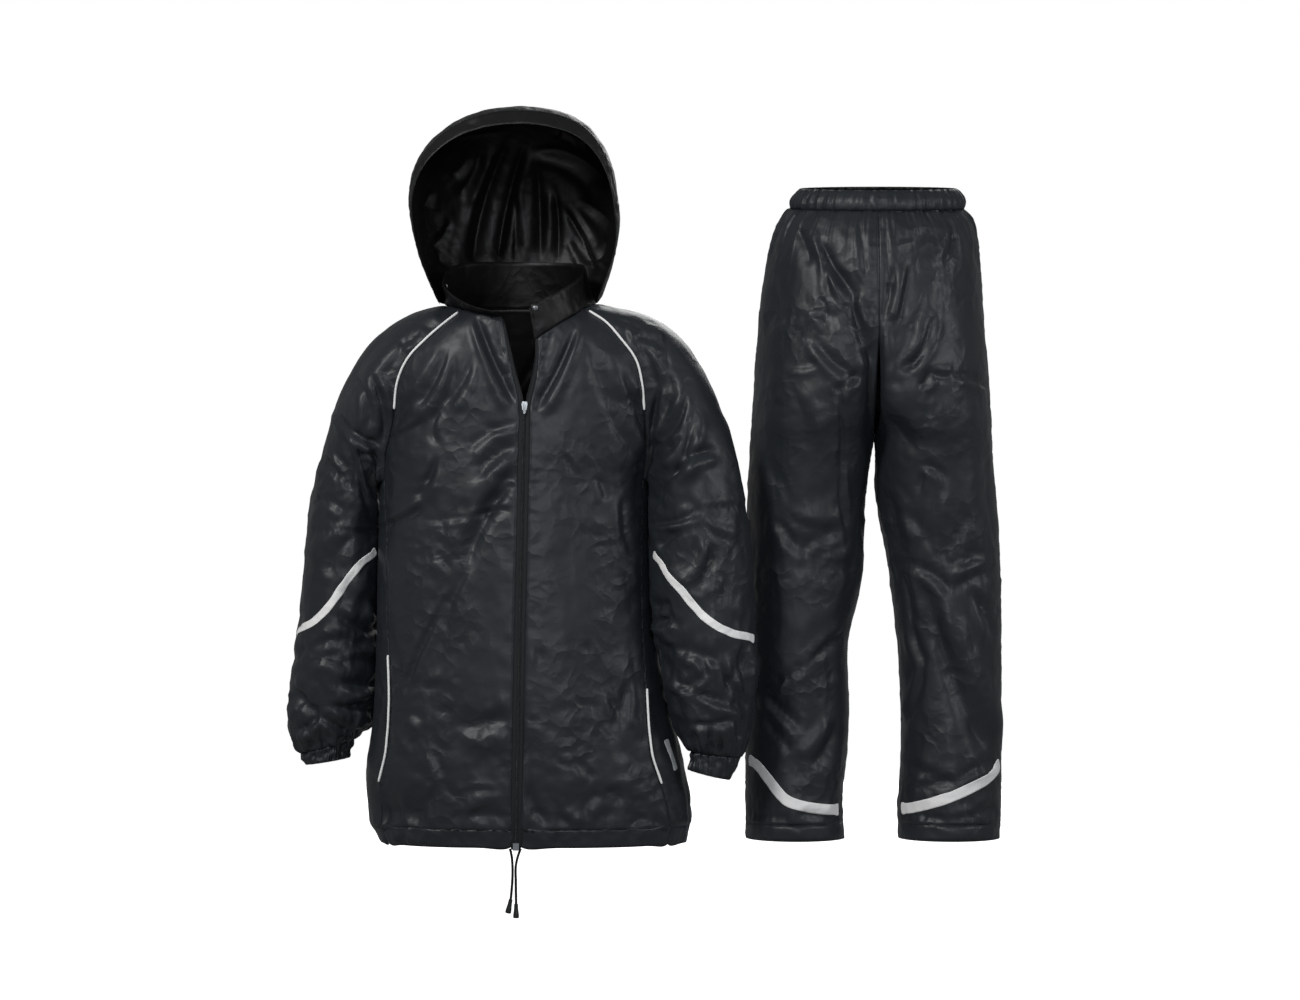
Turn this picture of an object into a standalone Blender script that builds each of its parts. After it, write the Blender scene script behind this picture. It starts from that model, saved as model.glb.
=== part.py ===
"""Rain suit: a hooded raglan jacket with a front zip, and elasticated trousers.

Both garments are filled out as if worn, with nobody in them. Metres, +Z up, front towards -Y.
Tables are in millimetres; "drop" is the distance below the top of the neckline.
"""
import math

import bmesh
import bpy
import numpy as np

MM = 0.001

# cloth and seams
CLOTH_WALL = 1.5
BAND_WALL = 2.0
TAPE_WALL = 0.6
TAPE_LIFT = 1.3
SLEEVE_TAPE_LIFT = 1.7
SEAM_GAP = 0.3
PIPING_RADIUS = 1.6
PIPING_LIFT = 0.9

# columns of cloth between the seams
STRIP_COLUMNS = 3
FRONT_COLUMNS = 7
BACK_COLUMNS = 6
RAGLAN_ROWS = 8
SIDE_POWER = 2.3

# zip and its metal
ZIP_TAPE_WIDTH = 8.5
SLIDER_SIZE = (9.0, 1.4, 13.0)
SLIDER_CENTRE = (3.4, -127.6, -159.5)
SLIDER_LEAN = math.atan(0.11)
PLATE_GAP = 0.6
BRIDGE_REACH = 4.0
PULL_REACH = 2.1
PULL_SIZE = (4.0, 1.2, 14.0)
END_BOX_SIZE = (9.0, 3.0, 11.0)
END_BOX_CENTRE = (-9.8, -124.7, -829.0)

# trousers
TROUSER_DEPTH_CENTRE = 75.0
TROUSER_CENTRE = 546.0
LEG_COLUMNS = 12
WAIST_GATHERS = 44
WAIST_TILT = 11.0
WAIST_TILT_REACH = 95.0
WAIST_GATHER_DEPTH = 2.0
WAIST_GATHER_REACH = 90.0
WAISTBAND_CLEARANCE = -0.5
WAISTBAND_GATHER_SHARE = 0.012
CROTCH_DROP = 200

# cuffs
CUFF_GATHERS = 15
CUFF_GATHER_SHARE = 0.035
CUFF_WALL = 1.6

# drawcord
CORD_DIAMETER = 4.0
CORD_END_LENGTH = 22.0
CORD_END_TOP_RADIUS = 3.0
CORD_END_FOOT_RADIUS = 4.6
CORD_STEPS = 12
CORD_ROUTE_LEFT = (
    (-19.0, -120.0, -831.8),
    (-16.5, -120.8, -842.0),
    (-15.2, -121.2, -856.0),
    (-15.3, -121.2, -880.0),
    (-17.6, -121.2, -908.0),
)
CORD_ROUTE_RIGHT = (
    (-2.6, -120.0, -831.8),
    (-6.5, -120.8, -842.0),
    (-9.9, -121.8, -857.0),
    (-10.0, -121.8, -882.0),
    (-9.6, -121.8, -915.0),
)

BODY_COLUMNS = ("drop", "left", "right", "front", "back", "zip", "seam_left", "seam_right")
BODY = (
    (271, -225.0, 191.0, 133, 128, 1.3, -216, 184),
    (333, -226.3, 192.2, 136, 130, 0.3, -214, 182),
    (395, -227.9, 195.3, 138, 132, -1.0, -212, 181),
    (488, -229.4, 199.9, 139, 133, -3.1, -210, 182),
    (581, -232.5, 213.9, 140, 134, -4.8, -204, 187),
    (654, -236.4, 232.5, 139, 133, -6.2, -206, 191),
    (713, -244.9, 246.4, 137, 130, -7.4, -214, 201),
    (738, -246.4, 251.1, 136, 129, -7.9, -222, 211),
    (778, -243.4, 257.3, 132, 126, -8.7, -224, 222),
    (803, -240.2, 256.5, 128, 122, -9.2, -222, 224),
    (820, -234.1, 255.0, 125, 119, -9.5, -217, 224),
    (831, -224.0, 251.0, 121, 115, -9.8, -208, 221),
)
BODY_ROWS = (271, 286, 312, 350, 395, 445, 500, 553, 604, 650, 694, 735, 772, 804, 831)
HEM_BAND_ROWS = 1

# raglan seams from the underarm to the neckline
# x, y, z
FRONT_RAGLAN_LEFT = (
    (-213.7, -50, -240.7),
    (-208.4, -60, -211.7),
    (-198.4, -71, -172.0),
    (-194.8, -78, -135.5),
    (-188.5, -82, -108.1),
    (-174.6, -84, -83.7),
    (-153.2, -84, -60.8),
    (-129.5, -80, -43.8),
    (-114.5, -74, -24.2),
    (-92.9, -66, -11.0),
)
FRONT_RAGLAN_RIGHT = (
    (187.6, -55, -225.4),
    (184.6, -68, -176.5),
    (183.0, -75, -146.1),
    (175.4, -82, -97.4),
    (164.7, -84, -74.5),
    (149.4, -84, -57.3),
    (136.2, -80, -38.7),
    (117.2, -74, -25.2),
    (92.6, -66, -9.5),
)
BACK_RAGLAN_LEFT = (
    (-213, 52, -240),
    (-207, 64, -205),
    (-198, 76, -165),
    (-187, 84, -128),
    (-172, 88, -95),
    (-150, 87, -64),
    (-124, 80, -34),
    (-90, 66, -4),
)
BACK_RAGLAN_RIGHT = (
    (187, 52, -240),
    (186, 64, -205),
    (182, 76, -165),
    (174, 84, -128),
    (160, 88, -95),
    (140, 87, -64),
    (116, 80, -32),
    (86, 66, -3),
)
# the neckline across the top of each sleeve
NECK_STRETCH_LEFT = ((-119.5, 28, 0), (-119.5, -28, -3))
NECK_STRETCH_RIGHT = ((107.5, -28, 0), (106.5, 28, 2))

# the front edges from the underarm level, past the slider, to the neckline
# left x, y, z, right x, y, z
FRONT_EDGES = (
    (1.3, -133.0, -271.0, 1.3, -133.0, -271.0),
    (2.0, -131.5, -236.0, 2.0, -131.5, -236.0),
    (2.7, -130.0, -200.0, 2.7, -130.0, -200.0),
    (3.4, -128.0, -164.0, 3.4, -128.0, -164.0),
    (-1.5, -125.0, -137.0, 8.0, -126.5, -140.0),
    (-9.0, -121.0, -110.0, 13.5, -124.0, -118.0),
    (-15.5, -116.5, -83.0, 17.5, -121.0, -97.0),
    (-22.5, -111.0, -54.0, 19.5, -118.5, -77.0),
    (-30.2, -104.0, -23.5, 18.9, -115.0, -59.0),
)
# the middle of the back, from above the underarm level to the neckline
BACK_MIDDLE = ((-13.0, 131.0, -190.0), (-11.0, 124.0, -90.0), (-8.0, 95.0, -3.0))

SLEEVE_COLUMNS = ("ring", "inner_x", "inner_z", "outer_x", "outer_z", "centre_y", "half_depth", "blend")
SLEEVE_LEFT = (
    (0, -225.0, -271, -122, 0, 0, 85, 0.00),
    (1, -231.5, -272, -166, -11, 4, 88, 0.12),
    (2, -233.5, -276, -206, -31, 10, 88, 0.30),
    (3, -232.5, -290, -245, -64, 18, 88, 0.50),
    (4, -230.0, -309, -271, -104, 26, 88, 0.72),
    (5, -228.0, -330, -293, -146, 32, 87, 0.88),
    (6, -226.5, -353, -308, -197, 37, 86, 0.97),
    (7, -225.5, -383, -322, -243, 40, 84, 1.00),
    (8, -225.0, -418, -336, -307, 41, 82, 1.00),
    (9, -225.5, -457, -344, -380, 42, 80, 1.00),
    (10, -227.0, -501, -352, -457, 42, 79, 1.00),
    (11, -227.5, -543, -360, -521, 42, 78, 1.00),
    (12, -229.0, -581, -368, -575, 42, 77, 1.00),
    (13, -231.5, -615, -371, -622, 42, 73, 1.00),
    (14, -235.5, -643, -370, -662, 42, 64, 1.00),
    (15, -248.0, -663, -363, -688, 42, 51, 1.00),
    (16, -268.0, -676, -351, -697, 42, 39, 1.00),
)
SLEEVE_RIGHT = (
    (0, 191.0, -271, 109, 3, 0, 85, 0.00),
    (1, 196.5, -269, 150, -5, -2, 88, 0.12),
    (2, 197.5, -276, 191, -16, -6, 88, 0.30),
    (3, 196.0, -290, 228, -37, -13, 88, 0.50),
    (4, 193.0, -309, 256, -68, -20, 88, 0.72),
    (5, 191.5, -330, 281, -110, -27, 87, 0.88),
    (6, 191.5, -353, 301, -157, -33, 86, 0.97),
    (7, 192.5, -383, 321, -209, -37, 84, 1.00),
    (8, 192.5, -418, 338, -279, -39, 82, 1.00),
    (9, 194.5, -460, 349, -358, -40, 80, 1.00),
    (10, 199.0, -507, 355, -442, -40, 79, 1.00),
    (11, 205.5, -553, 358, -519, -40, 78, 1.00),
    (12, 214.5, -597, 358, -581, -40, 77, 1.00),
    (13, 225.5, -633, 354, -631, -40, 72, 1.00),
    (14, 235.5, -659, 347, -663, -40, 63, 1.00),
    (15, 246.0, -678, 341, -684, -40, 51, 1.00),
    (16, 256.0, -689, 333, -698, -40, 38, 1.00),
)
CUFF_COLUMNS = ("inner_x", "inner_z", "outer_x", "outer_z", "half_depth")
CUFF_LEFT = (
    (-268.0, -677.0, -351.0, -698.0, 38.5),
    (-271.5, -690.0, -347.5, -706.0, 36.5),
    (-274.0, -703.0, -344.0, -714.5, 36.0),
)
CUFF_RIGHT = (
    (256.0, -690.0, 333.0, -699.0, 37.5),
    (253.0, -703.0, 325.5, -716.0, 35.5),
    (251.0, -716.0, 317.0, -732.5, 35.0),
)

# the collar's free edge, from its right end round the back to its left end
COLLAR_COLUMNS = ("share", "x", "y", "z")
COLLAR_TOP = (
    (0.00, 11.0, -124, -9),
    (0.11, 48.0, -110, 12),
    (0.22, 80.0, -72, 34),
    (0.31, 95.0, -22, 54),
    (0.40, 79.0, 40, 66),
    (0.50, -8.0, 84, 71),
    (0.60, -95.0, 40, 67),
    (0.69, -121.0, -20, 50),
    (0.78, -124.0, -66, 26),
    (0.89, -86.0, -112, -4),
    (1.00, -44.0, -132, -18),
)
COLLAR_ROWS = 3

# the hood's outline seen from the front, from its right foot over the crown
HOOD_ARCH_COLUMNS = ("share", "x", "rise")
HOOD_ARCH = (
    (0.000, 116, 0.02),
    (0.085, 143, 0.28),
    (0.170, 146, 0.50),
    (0.250, 134, 0.71),
    (0.330, 107, 0.87),
    (0.410, 62, 0.968),
    (0.500, -18, 1.000),
    (0.590, -98, 0.938),
    (0.670, -152, 0.79),
    (0.750, -176, 0.60),
    (0.830, -174, 0.41),
    (0.915, -159, 0.21),
    (1.000, -133, 0.00),
)
HOOD_CENTRE = -10.0
HOOD_ROW_COLUMNS = ("row", "foot_y", "foot_z", "apex_y", "apex_z", "spread", "settle")
HOOD_ROWS = (
    (0, -60, 5, -100, 272, 0.965, 0.00),
    (1, -46, 4, -82, 294, 0.990, 0.00),
    (2, -32, 4, -48, 303, 1.000, 0.00),
    (3, -19, 4, 2, 300, 0.990, 0.00),
    (4, -8, 4, 55, 283, 0.965, 0.00),
    (5, 2, 4, 98, 246, 0.930, 0.02),
    (6, 10, 4, 126, 192, 0.880, 0.08),
    (7, 17, 4, 137, 130, 0.820, 0.25),
    (8, 23, 4, 130, 66, 0.760, 0.62),
    (9, 28, 4, 104, 5, 0.700, 1.00),
)
HOOD_COLUMNS = 18

TROUSER_COLUMNS = ("drop", "outer", "inner", "front", "back")
TROUSER_LEFT = (
    (-155, 413.0, 679.0, 99, 99),
    (-143, 402.5, 690.0, 108, 106),
    (-129, 393.5, 698.0, 115, 113),
    (-102, 383.5, 703.0, 124, 123),
    (-38, 371.0, 697.0, 133, 136),
    (36, 363.0, 668.0, 138, 142),
    (114, 357.0, 616.0, 138, 142),
    (165, 354.0, 575.0, 132, 136),
    (192, 352.0, 553.0, 124, 128),
    (204, 351.5, 545.4, 118, 122),
    (243, 349.0, 539.5, 108, 112),
    (283, 347.0, 534.0, 102, 106),
    (323, 346.0, 530.0, 98, 102),
    (382, 345.0, 530.0, 94, 98),
    (459, 344.3, 520.0, 90, 94),
    (540, 344.0, 502.5, 86, 90),
    (606, 343.5, 506.5, 84, 88),
    (690, 343.5, 504.0, 84, 88),
    (774, 343.5, 495.5, 84, 86),
    (831, 343.5, 499.5, 84, 86),
)
TROUSER_RIGHT = (
    (-155, 683.0, 409.0, 99, 99),
    (-143, 695.0, 397.5, 108, 106),
    (-129, 701.5, 391.0, 115, 113),
    (-102, 708.0, 387.0, 124, 123),
    (-38, 714.5, 392.0, 133, 136),
    (36, 719.0, 424.0, 138, 142),
    (114, 725.8, 476.0, 138, 142),
    (165, 728.5, 517.0, 132, 136),
    (192, 729.5, 539.0, 124, 128),
    (204, 730.0, 546.6, 118, 122),
    (243, 732.5, 546.0, 108, 112),
    (283, 736.0, 546.5, 103, 107),
    (326, 740.0, 552.0, 99, 103),
    (382, 742.5, 563.0, 94, 98),
    (459, 745.0, 574.0, 90, 94),
    (540, 745.0, 582.5, 86, 90),
    (606, 745.0, 585.5, 84, 88),
    (690, 745.0, 587.0, 84, 88),
    (774, 745.0, 582.7, 84, 86),
    (834, 742.8, 582.7, 84, 86),
)
TROUSER_ROWS = (
    -155, -138, -112, -72, -20, 36, 88, 132, 168, 192, 204, 232, 276,
    334, 396, 460, 524, 590, 654, 714, 764, 806, 831,
)
TROUSER_HEM_ROWS = 1

WAISTBAND_COLUMNS = ("height", "left", "right", "half_depth")
WAISTBAND = (
    (155.8, 414.0, 686.0, 99.5),
    (171.0, 415.0, 687.0, 100.0),
    (187.0, 429.0, 675.0, 92.0),
)

# the largest folds: troughs along straight lines seen from the front, depth along the cloth's normal
# x0, z0, x1, z1, width, depth, face (-1 front, 1 back)
BODY_FOLDS = (
    (-208, -346, -156, -310, 16, 4.0, -1),
    (-60, -320, -140, -585, 20, 5.0, -1),
    (-50, -322, -160, -335, 14, 2.5, -1),
    (-200, -200, -60, -190, 22, 3.0, -1),
    (-215, -772, -180, -790, 22, 6.0, -1),
    (8, -660, 32, -765, 16, 4.5, -1),
    (60, -260, 70, -420, 26, 3.0, -1),
    (110, -560, 160, -690, 24, 4.0, -1),
    (-120, -640, -40, -720, 26, 4.0, -1),
    (60, -790, 170, -770, 18, 4.0, -1),
    (-75, -20, -20, -150, 12, 3.0, -1),
    (80, -25, 22, -150, 12, 3.0, -1),
    (-140, -180, -60, -420, 26, 4.5, 1),
    (110, -170, 60, -430, 26, 4.5, 1),
    (-150, -560, 20, -690, 28, 5.0, 1),
    (40, -470, 150, -640, 28, 5.0, 1),
    (-60, -760, 120, -785, 20, 4.0, 1),
)
SLEEVE_LEFT_FOLDS = (
    (-240, -350, -290, -250, 18, 5.0, -1),
    (-236, -352, -320, -355, 14, 3.5, -1),
    (-232, -500, -300, -455, 16, 5.5, -1),
    (-238, -560, -330, -545, 16, 5.0, -1),
    (-245, -600, -330, -600, 16, 5.0, -1),
    (-280, -640, -365, -610, 16, 4.5, -1),
    (-300, -150, -250, -260, 20, 5.0, 1),
    (-330, -380, -250, -470, 20, 5.5, 1),
    (-350, -560, -260, -610, 18, 5.5, 1),
)
SLEEVE_RIGHT_FOLDS = (
    (206, -330, 300, -245, 18, 5.5, -1),
    (210, -345, 320, -330, 14, 4.0, -1),
    (206, -415, 262, -392, 16, 4.5, -1),
    (212, -485, 262, -520, 16, 5.5, -1),
    (225, -540, 300, -600, 16, 5.0, -1),
    (310, -560, 345, -640, 16, 5.5, -1),
    (270, -130, 230, -250, 20, 5.0, 1),
    (330, -370, 240, -460, 20, 5.5, 1),
    (340, -560, 250, -620, 18, 5.5, 1),
)
HOOD_FOLDS = (
    (-20, 262, -60, 60, 13, 6.0, 1),
    (-8, 262, -20, 70, 13, 5.5, 1),
    (2, 262, 40, 70, 13, 6.0, 1),
    (-40, 255, -110, 80, 13, 5.0, 1),
    (12, 258, 85, 110, 14, 6.0, 1),
    (-80, 240, -140, 110, 14, 5.0, 1),
    (40, 240, 118, 170, 14, 6.0, 1),
)
TROUSER_FOLDS = (
    (455, 90, 535, -70, 14, 6.0, -1),
    (612, 112, 580, -100, 14, 6.0, -1),
    (545, -60, 540, -190, 16, 7.0, -1),
    (612, -155, 640, -108, 14, 5.0, -1),
    (640, -108, 722, -125, 12, 4.0, -1),
    (400, -360, 500, -440, 16, 5.0, -1),
    (600, -370, 700, -430, 16, 5.0, -1),
    (640, -400, 610, -480, 14, 4.5, -1),
    (640, -545, 728, -700, 18, 6.0, -1),
    (366, -610, 430, -735, 16, 5.0, -1),
    (440, -640, 490, -560, 16, 4.5, -1),
    (450, 60, 530, -120, 20, 6.0, 1),
    (640, 60, 565, -120, 20, 6.0, 1),
    (370, -400, 480, -470, 20, 6.0, 1),
    (720, -400, 610, -470, 20, 6.0, 1),
    (380, -640, 480, -720, 18, 5.0, 1),
    (710, -640, 610, -720, 18, 5.0, 1),
)

SLEEVE_TAPE_WIDTH = 12.0
SLEEVE_TAPE_LEFT = (
    (-236.0, -386), (-257.2, -405), (-277.1, -432), (-299.1, -464), (-323.8, -489), (-350.0, -503),
)
SLEEVE_TAPE_RIGHT = (
    (204.0, -392), (218.1, -412), (242.4, -439), (259.1, -461), (286.6, -487), (315.8, -503), (346.0, -512),
)
TROUSER_TAPE_WIDTH = 16.5
TROUSER_TAPE_LEFT = (
    (350.0, -708), (358.0, -713), (373.7, -730), (391.9, -754), (402.6, -766), (422.6, -774),
    (455.5, -781), (488.0, -785),
)
TROUSER_TAPE_RIGHT = (
    (588.0, -784), (598.0, -782), (624.1, -774), (657.7, -763), (697.1, -745), (724.0, -731), (738.0, -713),
)
SIDE_TAB_WIDTH = 10.5
SIDE_TAB_WALL = 0.9
SIDE_TAB = ((218.0, -671), (224.5, -694), (231.5, -717))

POCKET_PIPING_LEFT = (543, 731)
POCKET_PIPING_RIGHT = (594, 734)

COLOURS = {
    "nylon": ("2f3237", 0.46, 0.0),
    "nylon_inside": ("1c1d20", 0.55, 0.0),
    "piping": ("f4f4f4", 0.6, 0.0),
    "sleeve_tape": ("f7f7f7", 0.55, 0.0),
    "trouser_tape": ("e8e8e8", 0.55, 0.0),
    "zip_tape": ("202226", 0.7, 0.0),
    "metal": ("b8babd", 0.3, 1.0),
    "end_box": ("70747a", 0.5, 0.0),
    "side_tab": ("b4b7bc", 0.6, 0.0),
    "snap": ("8d9093", 0.35, 1.0),
    "cord": ("1a1e1c", 0.7, 0.0),
    "cord_end": ("17191a", 0.35, 0.0),
}


def clear_scene():
    for thing in list(bpy.data.objects):
        bpy.data.objects.remove(thing, do_unlink=True)


def to_linear(hex_colour):
    parts = [int(hex_colour[i:i + 2], 16) / 255 for i in (0, 2, 4)]
    return [c / 12.92 if c <= 0.04045 else ((c + 0.055) / 1.055) ** 2.4 for c in parts]


def make_material(name, colour_key):
    hex_colour, roughness, metallic = COLOURS[colour_key]
    material = bpy.data.materials.new(name)
    material.use_nodes = True
    shader = material.node_tree.nodes["Principled BSDF"]
    shader.inputs["Base Color"].default_value = (*to_linear(hex_colour), 1.0)
    shader.inputs["Roughness"].default_value = roughness
    shader.inputs["Metallic"].default_value = metallic
    return material


def add_mesh_object(name, points_mm, faces, colour_key, smooth=True):
    """Object from points in millimetres, all faces turned outwards"""
    mesh = bpy.data.meshes.new(name)
    mesh.from_pydata([tuple(float(v) * MM for v in p) for p in points_mm], [], faces)
    shape = bmesh.new()
    shape.from_mesh(mesh)
    bmesh.ops.recalc_face_normals(shape, faces=shape.faces)
    shape.to_mesh(mesh)
    shape.free()
    for face in mesh.polygons:
        face.use_smooth = smooth
    mesh.materials.append(make_material(name, colour_key))
    thing = bpy.data.objects.new(name, mesh)
    bpy.context.scene.collection.objects.link(thing)
    return thing


def unit(vectors):
    length = np.linalg.norm(vectors, axis=-1, keepdims=True)
    return vectors / np.maximum(length, 1e-9)


def read_table(columns, rows, at):
    """Smooth values of every column of a table at places along its first column"""
    at = np.atleast_1d(np.asarray(at, float))
    data = np.array(rows, float)
    keys = data[:, 0]
    low = np.clip(np.searchsorted(keys, at, side="right") - 1, 0, len(keys) - 2)
    span = keys[low + 1] - keys[low]
    t = (at - keys[low]) / span
    values = {columns[0]: at}
    for i, name in enumerate(columns[1:], start=1):
        column = data[:, i]
        slope = np.gradient(column, keys)
        values[name] = (
            (2 * t**3 - 3 * t**2 + 1) * column[low]
            + (t**3 - 2 * t**2 + t) * span * slope[low]
            + (3 * t**2 - 2 * t**3) * column[low + 1]
            + (t**3 - t**2) * span * slope[low + 1]
        )
    return values


def resample(points, count):
    """The given number of equal steps along a smooth curve through the points"""
    points = np.array(points, float)
    steps = np.linalg.norm(np.diff(points, axis=0), axis=1)
    reach = np.concatenate([[0], np.cumsum(steps)])
    table = np.column_stack([reach, points])
    names = ["reach"] + ["c%d" % i for i in range(points.shape[1])]
    fine = read_table(names, table, np.linspace(0, reach[-1], 200))
    curve = np.column_stack([fine[name] for name in names[1:]])
    length = np.concatenate([[0], np.cumsum(np.linalg.norm(np.diff(curve, axis=0), axis=1))])
    at = np.linspace(0, length[-1], count + 1)
    return np.column_stack([np.interp(at, length, curve[:, i]) for i in range(points.shape[1])])


def apply_folds(points, normals, folds, fade=1.0):
    """Press troughs into the cloth along straight lines seen from the front"""
    pressed = points.copy()
    for x0, z0, x1, z1, width, depth, face in folds:
        start = np.array([x0, z0])
        run = np.array([x1, z1]) - start
        rel = points[..., (0, 2)] - start
        t = np.clip((rel @ run) / (run @ run), 0, 1)
        away = np.linalg.norm(rel - t[..., None] * run, axis=-1)
        facing = np.clip(2.0 * face * normals[..., 1], 0, 1)
        amount = depth * np.exp(-((away / width) ** 2)) * facing * fade
        pressed -= normals * amount[..., None]
    return pressed


def point_key(point):
    return tuple(int(round(float(v) * 1000)) for v in point)


def grid_normals(grids):
    """Normals of several grids, shared wherever their points coincide"""
    total = {}
    for grid in grids:
        down = grid[1:, :-1] - grid[:-1, 1:]
        across = grid[1:, 1:] - grid[:-1, :-1]
        flat = np.cross(across, down) * -1.0
        rows, columns = flat.shape[:2]
        for r in range(rows):
            for c in range(columns):
                for corner in (grid[r, c], grid[r + 1, c], grid[r, c + 1], grid[r + 1, c + 1]):
                    key = point_key(corner)
                    total[key] = total.get(key, 0) + flat[r, c]
    found = []
    for grid in grids:
        normals = np.array([[total[point_key(p)] for p in row] for row in grid])
        found.append(unit(normals))
    return found


def cloth_solid(name, blocks, colour_key, wall=CLOTH_WALL, lift=0.0, gap=SEAM_GAP):
    """Closed wall from blocks of (points, normals) that share their edges"""
    index = {}
    points = []
    normals = []
    faces = []
    for grid, grid_normal in blocks:
        rows, columns = grid.shape[:2]
        places = np.zeros((rows, columns), int)
        for r in range(rows):
            for c in range(columns):
                key = point_key(grid[r, c])
                if key not in index:
                    index[key] = len(points)
                    points.append(grid[r, c])
                    normals.append(grid_normal[r, c])
                places[r, c] = index[key]
        for r in range(rows - 1):
            for c in range(columns - 1):
                a, b, d, e = (int(places[i]) for i in ((r, c), (r + 1, c), (r + 1, c + 1), (r, c + 1)))
                if splits_downward(points[a], points[b], points[d], points[e]):
                    faces += [(a, b, d), (a, d, e)]
                else:
                    faces += [(a, b, e), (b, d, e)]
    points = np.array(points)
    normals = np.array(normals)
    edge_use = {}
    for face in faces:
        for a, b in zip(face, face[1:] + face[:1]):
            edge_use.setdefault(frozenset((a, b)), []).append((a, b, face))
    rims = [uses[0] for uses in edge_use.values() if len(uses) == 1]
    pulls = {}
    for a, b, face in rims:
        along = unit(points[b] - points[a])
        inside = points[list(face)].mean(axis=0) - (points[a] + points[b]) / 2
        inward = unit(inside - along * (inside @ along))
        pulls.setdefault(a, []).append(inward)
        pulls.setdefault(b, []).append(inward)
    moved = points.copy()
    for i, ways in pulls.items():
        joint = sum(ways)
        reach = max(1.0, float(joint @ joint) / len(ways))
        moved[i] = points[i] + joint * (gap / 2) / reach
    outer = moved + normals * lift
    outer = outer + normals * (wall if lift else 0.0)
    inner = outer - normals * wall
    count = len(points)
    solid_faces = [tuple(reversed(face)) for face in faces]
    solid_faces += [tuple(i + count for i in face) for face in faces]
    solid_faces += [(a, b, b + count, a + count) for a, b, face in rims]
    return add_mesh_object(name, np.concatenate([outer, inner]), solid_faces, colour_key)


def tube(name, path, radius, colour_key, sides=6):
    """Round strip with flat ends along a path"""
    path = np.array(path, float)
    along = unit(np.gradient(path, axis=0))
    reference = np.array([0.0, 1.0, 0.0])
    points = []
    for centre, way in zip(path, along):
        first = unit(np.cross(way, reference))
        second = np.cross(way, first)
        for i in range(sides):
            angle = 2 * math.pi * i / sides
            points.append(centre + radius * (math.cos(angle) * first + math.sin(angle) * second))
    faces = [tuple(range(sides)), tuple(range(len(points) - sides, len(points)))]
    for ring in range(len(path) - 1):
        for i in range(sides):
            a = ring * sides + i
            b = ring * sides + (i + 1) % sides
            faces.append((a, b, b + sides, a + sides))
    return add_mesh_object(name, points, faces, colour_key)


def turned(name, profile, centre, axis, colour_key, sides=14):
    """Solid turned from (radius, height) steps about an axis"""
    axis = unit(np.array(axis, float))
    helper = np.array([1.0, 0.0, 0.0]) if abs(axis[0]) < 0.8 else np.array([0.0, 1.0, 0.0])
    first = unit(np.cross(axis, helper))
    second = np.cross(axis, first)
    points = []
    for radius, height in profile:
        for i in range(sides):
            angle = 2 * math.pi * i / sides
            spoke = math.cos(angle) * first + math.sin(angle) * second
            points.append(np.array(centre) + radius * spoke + height * axis)
    faces = [tuple(range(sides)), tuple(range(len(points) - sides, len(points)))]
    for ring in range(len(profile) - 1):
        for i in range(sides):
            a = ring * sides + i
            b = ring * sides + (i + 1) % sides
            faces.append((a, b, b + sides, a + sides))
    return add_mesh_object(name, points, faces, colour_key)


def locate(grid, x, z):
    """Row and column where a point seen from the front lies on the nearest layer of a grid"""
    best = None
    rows, columns = grid.shape[:2]
    for r in range(rows - 1):
        for c in range(columns - 1):
            corners = ((r, c), (r + 1, c), (r, c + 1)), ((r + 1, c + 1), (r, c + 1), (r + 1, c))
            for triple in corners:
                a, b, d = (grid[i, j] for i, j in triple)
                matrix = np.array([[b[0] - a[0], d[0] - a[0]], [b[2] - a[2], d[2] - a[2]]])
                size = np.linalg.det(matrix)
                if abs(size) < 1e-6:
                    continue
                s, t = np.linalg.solve(matrix, [x - a[0], z - a[2]])
                if s < -1e-6 or t < -1e-6 or s + t > 1 + 1e-6:
                    continue
                y = a[1] + s * (b[1] - a[1]) + t * (d[1] - a[1])
                place = np.array(triple[0]) + s * (np.array(triple[1]) - triple[0])
                place = place + t * (np.array(triple[2]) - triple[0])
                if best is None or y < best[0]:
                    best = (y, place)
    return best[1]


def splits_downward(a, b, c, d):
    """Whether a patch is split from its first corner to the opposite one, its shorter diagonal"""
    return np.linalg.norm(c - a) <= np.linalg.norm(d - b)


def on_grid(grid, row, column, shape=None):
    """Point between the rows and columns of a grid, on the flat triangles of its shape"""
    shape = grid if shape is None else shape
    r = int(np.clip(math.floor(row), 0, grid.shape[0] - 2))
    c = int(np.clip(math.floor(column), 0, grid.shape[1] - 2))
    s = row - r
    t = column - c
    corners = ((r, c), (r + 1, c), (r + 1, c + 1), (r, c + 1))
    first, foot, far, side = (grid[place] for place in corners)
    if splits_downward(*(shape[place] for place in corners)):
        if s >= t:
            return first + (foot - first) * s + (far - foot) * t
        return first + (side - first) * t + (far - side) * s
    if s + t <= 1:
        return first + (foot - first) * s + (side - first) * t
    return far + (side - far) * (1 - s) + (foot - far) * (1 - t)


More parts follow.
